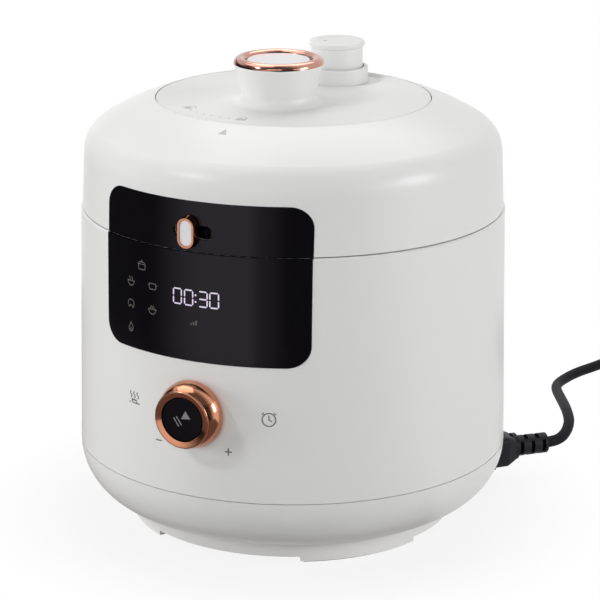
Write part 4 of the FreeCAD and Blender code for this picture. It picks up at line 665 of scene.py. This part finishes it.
# Small pictures in place of words; each is about six millimetres high
def draw_pot(marks, spot, pen):
    marks.stroke(spot, [(-3, 0.6), (-3, -2), (-2.4, -2.6), (2.4, -2.6), (3, -2), (3, 0.6)], pen)
    marks.stroke(spot, [(-3.8, 0.9), (3.8, 0.9)], pen)
    marks.stroke(spot, [(-2.9, 1.7), (-1.8, 2.3), (1.8, 2.3), (2.9, 1.7)], pen)
    marks.patch(spot, square((0, 3.1), 0.5))


def draw_bowl(marks, spot, pen):
    marks.stroke(spot, [(-3.6, 0.4), (3.6, 0.4)], pen)
    marks.stroke(spot, arc((0, 0.4), 3.1, 180, 360, 14), pen)
    marks.stroke(spot, [(-1.3, -2.9), (1.3, -2.9)], pen)


def wisp(place, base, sway, climb, steps):
    """Points of a line of steam that sways once as it climbs."""
    line = []
    for index in range(steps + 1):
        share = index / steps
        line.append((place + sway * math.sin(2 * math.pi * share), base + climb * share))
    return line


def draw_soup(marks, spot, pen):
    draw_bowl(marks, spot, pen)
    for place in (-1.2, 1.2):
        marks.stroke(spot, wisp(place, base=1.2, sway=0.4, climb=2.08, steps=8), pen)


def draw_stew(marks, spot, pen):
    marks.stroke(spot, [(-2.8, 1.2), (-2.8, -2), (-2.2, -2.6), (2.2, -2.6), (2.8, -2), (2.8, 1.2)], pen)
    marks.stroke(spot, [(-2.8, 1.2), (2.8, 1.2)], pen)
    marks.stroke(spot, [(-4, 0.2), (-2.8, 0.2)], pen)
    marks.stroke(spot, [(2.8, 0.2), (4, 0.2)], pen)


def draw_grain(marks, spot, pen):
    draw_bowl(marks, spot, pen)
    for place in (-1.6, 0, 1.6):
        marks.patch(spot, ring((place, 1.4), 0.5, 10))
    for place in (-0.8, 0.8):
        marks.patch(spot, ring((place, 2.5), 0.5, 10))


def draw_bean(marks, spot, pen):
    outer = arc((0, 0), 2.9, -60, 240, 16)
    marks.stroke(spot, outer + arc((0, -2.4), 1.45, 170, 10, 8), pen, closed=True)


def draw_flame(marks, spot, pen):
    right = [(0, 3.4), (1.2, 1.9), (1.9, 0.4), (2.1, -1), (1.5, -2.3), (0, -2.9)]
    left = [(-1.5, -2.3), (-2.1, -1), (-1.6, 0.3), (-0.9, 0.9), (-0.5, 2.2)]
    marks.stroke(spot, right + left, pen, closed=True)
    marks.stroke(spot, [(-0.7, -1.9), (0, -0.5), (0.7, -1.9)], pen)


def draw_level(marks, spot, pen):
    """Three filled bars, which need no pen."""
    for place, top in ((-1.8, -0.4), (0, 0.6), (1.8, 1.6)):
        marks.patch(spot, box(place - 0.5, -1.6, place + 0.5, top))


def draw_release(marks, spot, pen):
    marks.stroke(spot, [(-5, -3.6), (5, -3.6)], pen)
    marks.stroke(spot, [(-2.2, -3.6), (-2.2, -1.6), (2.2, -1.6), (2.2, -3.6)], pen)
    for place in (-3.2, 0, 3.2):
        marks.stroke(spot, wisp(place, base=-0.2, sway=0.8, climb=4.32, steps=12), pen)


def draw_clock(marks, spot, pen):
    marks.stroke(spot, ring((0, 0), 4.4, 28), pen, closed=True)
    marks.stroke(spot, [(0, 2.8), (0, 0), (2, -1.2)], pen)
    marks.stroke(spot, [(-4.6, 3.4), (-3.2, 4.7)], pen)
    marks.stroke(spot, [(4.6, 3.4), (3.2, 4.7)], pen)


# Where each picture stands: degrees off the front, and height
PANEL_PICTURES = (
    (draw_pot, -16.4, 206.0),
    (draw_soup, -20.4, 193.6),
    (draw_stew, -12.6, 194.4),
    (draw_bean, -20.4, 178.4),
    (draw_grain, -12.7, 177.9),
    (draw_flame, -20.5, 162.4),
    (draw_level, 0.1, 174.6),
)
RELEASE_AT = (-19.4, 114)
CLOCK_AT = (20, 113.6)
MINUS_AT = (-10.7, 89.7)
PLUS_AT = (9.53, 89.8)
BUTTON_HEIGHT = 113.7
# Marks on the lid: degrees off the front, and distance from the axis
POINTER_AT = (0.4, 103.5)
POINTER_HALF = 3.1
CLOSED_LOCK_AT = (0.6, 78.8)
LOCK_TURN = 36
OPEN_LOCK_AT = (-LOCK_TURN, 78.5)
LOCK_DOTS = 6
LOCK_DOTS_REACH = 81.2
LOCK_DOT_RADIUS = 0.8
# Filling lines in the pot
POT_LINES = 7
POT_FIRST_LINE = 92
POT_LINE_STEP = 14
POT_LINES_TURN = 150
POT_LONG_HALF = 9
POT_SHORT_HALF = 5
POT_FIGURE_AT = 14
POT_FIGURE_HALF_WIDTH = 1.5
POT_FIGURE_HALF_HEIGHT = 1.3


def mark_panel():
    skin = skin_of("control_panel")
    marks = Print()
    for draw, degrees, height in PANEL_PICTURES:
        draw(marks, on_wall(skin, degrees, height), PANEL_PEN)
    marks.finish("panel_marks", FINISH["panel_ink"], "cooker_body", "pale_grey")


def mark_casing():
    skin = skin_of("outer_shell")
    marks = Print()
    draw_release(marks, on_wall(skin, *RELEASE_AT), CASING_PEN)
    draw_clock(marks, on_wall(skin, *CLOCK_AT), CASING_PEN)
    marks.stroke(on_wall(skin, *MINUS_AT), [(-2.4, 0), (2.4, 0)], SIGN_PEN)
    plus = on_wall(skin, *PLUS_AT)
    marks.stroke(plus, [(-2.4, 0), (2.4, 0)], SIGN_PEN)
    marks.stroke(plus, [(0, 0.45), (0, 2.5)], SIGN_PEN)
    marks.stroke(plus, [(0, -2.5), (0, -0.45)], SIGN_PEN)
    marks.finish("casing_marks", FINISH["casing_ink"], "cooker_body", "pale_grey")


def mark_button():
    marks = Print()
    spot = on_front(skin_of("start_button"), BUTTON_HEIGHT)
    marks.patch(spot, [(-0.8, 0.4), (6.1, 1.1), (2.4, 6.2)])
    marks.stroke(spot, [(-6.2, 0.7), (-2.5, -5.0)], BUTTON_PEN)
    marks.stroke(spot, [(-4.3, 1.8), (-0.4, -3.8)], BUTTON_PEN)
    marks.finish("button_mark", FINISH["button_ink"], "button", "pale_grey")


def draw_padlock(marks, spot, closed):
    marks.patch(spot, box(-3.4, -3.4, 3.4, 1.3))
    shackle = [(-2.2, 1.3)] + arc((0, 2.9), 2.2, 180, 0, 10)
    if closed:
        shackle.append((2.2, 1.3))
    marks.stroke(spot, shackle, LOCK_PEN)


def mark_lid():
    pointer = Print()
    corners = [(-POINTER_HALF, -POINTER_HALF), (POINTER_HALF, -POINTER_HALF), (0, POINTER_HALF)]
    pointer.patch(on_top(skin_of("lid_shell"), *POINTER_AT), corners)
    pointer.finish("lid_pointer", FINISH["lid_ink"], "lid", "pale_grey")
    skin = skin_of("turn_plate")
    marks = Print()
    draw_padlock(marks, on_top(skin, *CLOSED_LOCK_AT), closed=True)
    draw_padlock(marks, on_top(skin, *OPEN_LOCK_AT), closed=False)
    for index in range(LOCK_DOTS):
        degrees = -LOCK_TURN + LOCK_TURN * (index + 1) / (LOCK_DOTS + 1)
        marks.patch(on_top(skin, degrees, LOCK_DOTS_REACH), ring((0, 0), LOCK_DOT_RADIUS, 12))
    marks.finish("plate_marks", FINISH["lid_ink"], "turn_lid", "pale_grey")


def draw_figure(marks, spot, segments):
    """A plain figure beside a filling line."""
    for name in segments:
        line = []
        for across, up in SEGMENTS[name]:
            line.append((POT_FIGURE_AT + across * POT_FIGURE_HALF_WIDTH, up * POT_FIGURE_HALF_HEIGHT))
        marks.stroke(spot, line, POT_FIGURE_PEN)


def mark_pot():
    """Filling lines inside the pot, with a plain figure beside each long one."""
    marks = Print()
    skin = skin_of("inner_pot")
    for index in range(POT_LINES):
        spot = in_pot(skin, POT_LINES_TURN, POT_FIRST_LINE + index * POT_LINE_STEP)
        half = POT_SHORT_HALF if index % 2 else POT_LONG_HALF
        marks.stroke(spot, [(-half, 0), (0, 0), (half, 0)], POT_PEN)
        if not index % 2:
            draw_figure(marks, spot, FIGURES[index // 2 + 1])
    marks.finish("pot_marks", FINISH["pot_ink"], "cooker_body", "pale_grey")


mark_panel()
mark_casing()
mark_button()
mark_lid()
mark_pot()


# Strips bent round the upright axis; a section holds corners of reach and height
BENT_STEPS = 24
AT_BACK = 0
AT_FRONT = 180
# Closes the valve's dish where it runs out at the back of the turn plate
DISH_RIM_SECTION = ((0.0913, 0.29288), (0.0932, 0.29288), (0.0932, 0.29505), (0.0929, 0.29505))
DISH_RIM_HALF_ANGLE = 17.3
# A black strip lies on the shell's white edge behind the control panel. It is painted shade, so that the
# line between the panels stays dark
GAP_SHADE_SECTION = ((0.1422, 0.22105), (0.1432, 0.22105), (0.1432, 0.2214), (0.1422, 0.2214))
GAP_SHADE_HALF_ANGLE = 31.3


def bent_strip(name, section, middle, half_angle, finish, body):
    """A strip of a section, bent about an angle off the back."""
    spots = []
    for index in range(BENT_STEPS + 1):
        angle = math.radians(middle + half_angle * (2 * index / BENT_STEPS - 1))
        outward = Vector((math.sin(angle), math.cos(angle), 0))
        for reach, height in section:
            spots.append(outward * reach + Vector((0, 0, height)))
    count = len(section)
    first_end = list(range(count))[::-1]
    last_end = [BENT_STEPS * count + corner for corner in range(count)]
    faces = [first_end, last_end]
    for index in range(BENT_STEPS):
        low = index * count
        high = low + count
        for corner in range(count):
            after = (corner + 1) % count
            faces.append([low + corner, low + after, high + after, high + corner])
    strip = put_mesh(name, spots, faces, FINISH[finish])
    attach(strip, body)


bent_strip("dish_rim", DISH_RIM_SECTION, AT_BACK, DISH_RIM_HALF_ANGLE, "white_gloss", "turn_lid")
# The black strip stands in for the shade in the gap between the panels
bent_strip(
    "gap_shade_strip", GAP_SHADE_SECTION, AT_FRONT, GAP_SHADE_HALF_ANGLE, "black_plastic", "cooker_body"
)


# Screws under the base, which hold the liner's three posts
BASE_SCREWS = {
    "Count": 3,
    "Circle radius": 0.062,
    "First angle": math.radians(45),
    "Height": 0.0091,
    "Head radius": 0.0036,
    "Head depth": 0.0014,
    "Slot length": 0.0044,
    "Slot width": 0.0009,
}
SCREW_SIDES = 24


def screw_tree(sizes, material):
    """A tree that sets cross-head screws round a circle, heads down."""
    tree = bpy.data.node_groups.new("base_screws", "GeometryNodeTree")
    tree.interface.new_socket("Screws", in_out="OUTPUT", socket_type="NodeSocketGeometry")
    sockets = {}
    for name, value in sizes.items():
        kind = "NodeSocketInt" if isinstance(value, int) else "NodeSocketFloat"
        sockets[name] = tree.interface.new_socket(name, in_out="INPUT", socket_type=kind).identifier
    size = tree.nodes.new("NodeGroupInput").outputs
    end = tree.nodes.new("NodeGroupOutput")
    head = add(tree, "GeometryNodeMeshCylinder", Vertices=SCREW_SIDES)
    join(tree, size["Head radius"], head.inputs["Radius"])
    join(tree, size["Head depth"], head.inputs["Depth"])
    drive = add(tree, "GeometryNodeMeshBoolean", operation="DIFFERENCE")
    join(tree, head.outputs["Mesh"], drive.inputs["Mesh 1"])
    for long_axis, short_axis in (("X", "Y"), ("Y", "X")):
        reach = add(tree, "ShaderNodeCombineXYZ")
        join(tree, size["Slot length"], reach.inputs[long_axis])
        join(tree, size["Slot width"], reach.inputs[short_axis])
        join(tree, size["Head depth"], reach.inputs["Z"])
        bar = add(tree, "GeometryNodeMeshCube")
        join(tree, reach.outputs[0], bar.inputs["Size"])
        drop = add(tree, "ShaderNodeCombineXYZ")
        join(tree, math_node(tree, "MULTIPLY", size["Head depth"], -0.5), drop.inputs["Z"])
        lowered = add(tree, "GeometryNodeTransform")
        join(tree, bar.outputs["Mesh"], lowered.inputs["Geometry"])
        join(tree, drop.outputs[0], lowered.inputs["Translation"])
        join(tree, lowered.outputs["Geometry"], drive.inputs["Mesh 2"])
    circle = add(tree, "GeometryNodeMeshCircle")
    join(tree, size["Count"], circle.inputs["Vertices"])
    join(tree, size["Circle radius"], circle.inputs["Radius"])
    turn = add(tree, "ShaderNodeCombineXYZ")
    join(tree, size["First angle"], turn.inputs["Z"])
    rise = add(tree, "ShaderNodeCombineXYZ")
    join(tree, size["Height"], rise.inputs["Z"])
    spots = add(tree, "GeometryNodeTransform")
    join(tree, circle.outputs["Mesh"], spots.inputs["Geometry"])
    join(tree, turn.outputs[0], spots.inputs["Rotation"])
    join(tree, rise.outputs[0], spots.inputs["Translation"])
    copies = add(tree, "GeometryNodeInstanceOnPoints")
    join(tree, spots.outputs["Geometry"], copies.inputs["Points"])
    join(tree, drive.outputs["Mesh"], copies.inputs["Instance"])
    whole = add(tree, "GeometryNodeRealizeInstances")
    join(tree, copies.outputs["Instances"], whole.inputs["Geometry"])
    finish = add(tree, "GeometryNodeSetMaterial", Material=material)
    join(tree, whole.outputs["Geometry"], finish.inputs["Geometry"])
    join(tree, finish.outputs["Geometry"], end.inputs[0])
    return tree, sockets


def drive_screws():
    tree, sockets = screw_tree(BASE_SCREWS, FINISH["steel"])
    maker = put("screw_maker", bpy.data.meshes.new("screw_maker"))
    modifier = maker.modifiers.new("screws", "NODES")
    modifier.node_group = tree
    for name, value in BASE_SCREWS.items():
        modifier[sockets[name]] = value
    made = maker.evaluated_get(bpy.context.evaluated_depsgraph_get())
    mesh = bpy.data.meshes.new_from_object(made)
    mesh.name = "base_screws"
    bpy.data.objects.remove(maker)
    screws = put("base_screws", mesh)
    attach(screws, "cooker_body")


drive_screws()


# Floor, reflections and lights
WHITE = (1, 1, 1, 1)
FLOOR_HALF = 30
FLOOR_TONE = (0.45, 0.45, 0.45)
# Near the object this share of the floor is plain white and the rest keeps the shadow
FLOOR_NEAR_WHITE = 0.88
# The share grows to all of the floor between these distances from the middle
FLOOR_SHADE_FADES = (0.13, 0.24)


def stage_piece(name, spots, faces, material):
    made = put_mesh(name, spots, faces, material)
    return made


def seen_directly(tree):
    """One for what the camera sees, also in a reflection or through glass, and zero for soft light."""
    path = add(tree, "ShaderNodeLightPath")
    seen = math_node(tree, "MAXIMUM", path.outputs["Is Camera Ray"], path.outputs["Is Glossy Ray"])
    return math_node(tree, "MAXIMUM", seen, path.outputs["Is Transmission Ray"])


def floor_material():
    """Pale floor that keeps a soft shadow near the object and is plain white further off."""
    made, tree, shader = shader_material("pale_floor", Base_Color=FLOOR_TONE, Roughness=0.6)
    glow = add(tree, "ShaderNodeEmission", Color=WHITE, Strength=1.0)
    reach = add(tree, "ShaderNodeVectorMath", operation="LENGTH")
    join(tree, add(tree, "ShaderNodeTexCoord").outputs["Object"], reach.inputs[0])
    far = eased(tree, reach.outputs["Value"], *FLOOR_SHADE_FADES, low=FLOOR_NEAR_WHITE)
    mix = add(tree, "ShaderNodeMixShader")
    join(tree, math_node(tree, "MULTIPLY", seen_directly(tree), far), mix.inputs[0])
    join(tree, shader.outputs[0], mix.inputs[1])
    join(tree, glow.outputs[0], mix.inputs[2])
    join(tree, mix.outputs[0], tree.nodes["Material Output"].inputs["Surface"])
    return made


def lay_floor():
    corners = [(x, y, 0) for x, y in square((0, 0), FLOOR_HALF)]
    stage_piece("floor", corners, [[0, 1, 2, 3]], floor_material())


# Brightness of the studio wall by degrees off the front, which only reflections show
WALL_TONES = (
    (-128, 1),
    (-100, 0.02),
    (-48, 0.01),
    (-14, 1),
    (5, 1),
    (12, 0.45),
    (25, 0.02),
    (58, 0.02),
    (80, 1),
)
WALL_START = WALL_TONES[0][0]
WALL_END = WALL_TONES[-1][0]
WALL_REACH = 0.62
WALL_HEIGHT = 0.5
WALL_FADE_START = 0.35
WALL_STEPS = 52
CARD_TONE = (0.17, 0.14, 0.13)
CARD_START = 0.12
CARD_LIFT = 0.0005
DOME_REACH = 3.4
DOME_TONE = 0.14
# The dome's tone rises to white between these places from front to back
DOME_TONE_RISES = (-1.2, 0.6)
DOME_STEPS = 48
DOME_RINGS = 12


def only_reflected(piece):
    """Keeps a stage piece out of every view except reflections."""
    piece.visible_camera = False
    piece.visible_diffuse = False
    piece.visible_transmission = False
    piece.visible_shadow = False


def glow_material(name):
    """A material of plain light, its tree and its emission node."""
    made = bpy.data.materials.new(name)
    made.use_nodes = True
    tree = made.node_tree
    tree.nodes.remove(tree.nodes["Principled BSDF"])
    glow = add(tree, "ShaderNodeEmission", Strength=1.0)
    join(tree, glow.outputs[0], tree.nodes["Material Output"].inputs["Surface"])
    return made, tree, glow


def place_parts(tree):
    parts = add(tree, "ShaderNodeSeparateXYZ")
    join(tree, add(tree, "ShaderNodeTexCoord").outputs["Object"], parts.inputs[0])
    return parts.outputs


def wall_material():
    made, tree, glow = glow_material("studio_wall")
    place = place_parts(tree)
    turn = math_node(tree, "ARCTAN2", place["X"], math_node(tree, "MULTIPLY", place["Y"], -1))
    share = add(tree, "ShaderNodeMapRange")
    share.inputs["From Min"].default_value = math.radians(WALL_START)
    share.inputs["From Max"].default_value = math.radians(WALL_END)
    join(tree, turn, share.inputs["Value"])
    ramp = add(tree, "ShaderNodeValToRGB")
    join(tree, share.outputs["Result"], ramp.inputs["Fac"])
    ramp.color_ramp.interpolation = "EASE"
    stops = ramp.color_ramp.elements
    while len(stops) < len(WALL_TONES):
        stops.new(1)
    for stop, (degrees, tone) in zip(stops, WALL_TONES):
        stop.position = (degrees - WALL_START) / (WALL_END - WALL_START)
        stop.color = (tone, tone, tone, 1)
    high = eased(tree, place["Z"], WALL_FADE_START, WALL_HEIGHT)
    tone = mixed(tree, high, ramp.outputs["Color"], (DOME_TONE, DOME_TONE, DOME_TONE))
    join(tree, tone, glow.inputs["Color"])
    return made


def turned_sheet(name, line, first, last, count, material):
    """A sheet swept round the upright axis between two angles off the front, seen in reflections only."""
    spots = []
    for index in range(count + 1):
        outward = off_front(math.radians(first + (last - first) * index / count))
        for reach, height in line:
            spots.append(outward * reach + Vector((0, 0, height)))
    faces = []
    high = len(line)
    for index in range(count):
        for step in range(high - 1):
            low = index * high + step
            faces.append([low, low + high, low + high + 1, low + 1])
    only_reflected(stage_piece(name, spots, faces, material))


def stand_wall():
    """A curved wall round the front: bright ahead and at its ends, and dark between them."""
    line = [(WALL_REACH, 0), (WALL_REACH, WALL_HEIGHT)]
    turned_sheet("studio_wall", line, WALL_START, WALL_END, WALL_STEPS, wall_material())


def lay_card():
    """A dark card on the floor round the front, for the shade that the photograph's metal reflects."""
    made, _, glow = glow_material("dark_card")
    glow.inputs["Color"].default_value = (*CARD_TONE, 1)
    line = [(CARD_START, CARD_LIFT), (WALL_REACH, CARD_LIFT)]
    turned_sheet("dark_card", line, WALL_START, WALL_END, WALL_STEPS, made)


def raise_dome():
    """The room over the wall: dim behind the camera and white behind the object."""
    made, tree, glow = glow_material("studio_dome")
    tone = eased(tree, place_parts(tree)["Y"], *DOME_TONE_RISES, low=DOME_TONE)
    join(tree, tone, glow.inputs["Color"])
    line = []
    for step in range(DOME_RINGS + 1):
        tilt = math.radians(90 * step / DOME_RINGS)
        line.append((DOME_REACH * math.cos(tilt), DOME_REACH * math.sin(tilt)))
    turned_sheet("studio_dome", line, 0, 360, DOME_STEPS, made)


LAMP_AIM = (0, 0, 0.15)
LOW_AIM = (0, 0, 0.05)


def soft_light(name, spot, size, watts, aim=LAMP_AIM, reflected=True):
    data = bpy.data.lights.new(name, "AREA")
    data.shape = "RECTANGLE"
    data.size, data.size_y = size
    data.energy = watts
    lamp = put(name, data)
    lamp.location = spot
    lamp.rotation_euler = (Vector(aim) - Vector(spot)).to_track_quat("-Z", "Y").to_euler()
    lamp.visible_glossy = reflected


def light_studio():
    world = bpy.data.worlds.new("studio")
    world.use_nodes = True
    tree = world.node_tree
    scene.world = world
    back = tree.nodes["Background"]
    back.inputs["Color"].default_value = WHITE
    join(tree, seen_directly(tree), back.inputs["Strength"])
    soft_light("key_light", (-1.35, -1.9, 1.9), size=(0.4, 0.4), watts=14)
    soft_light("front_light", (0.6, -2.4, 0.9), size=(1.6, 1.2), watts=14)
    # The black panel would show this one as a grey patch
    soft_light(
        "low_left_light", (-2.2, -1.2, 0.45), size=(2.0, 0.9), watts=31, aim=LOW_AIM, reflected=False
    )
    soft_light("right_light", (2.2, 0.2, 0.85), size=(0.6, 0.8), watts=14)
    soft_light("low_right_light", (2.3, -0.5, 0.6), size=(1.0, 1.2), watts=14)
    soft_light("top_left_light", (-0.9, -0.3, 2.1), size=(1.6, 1.6), watts=12.5)
    soft_light("top_back_light", (-0.3, 1.0, 2.0), size=(1.8, 1.4), watts=18)


lay_floor()
stand_wall()
lay_card()
raise_dome()
light_studio()
scene.view_settings.view_transform = "Standard"
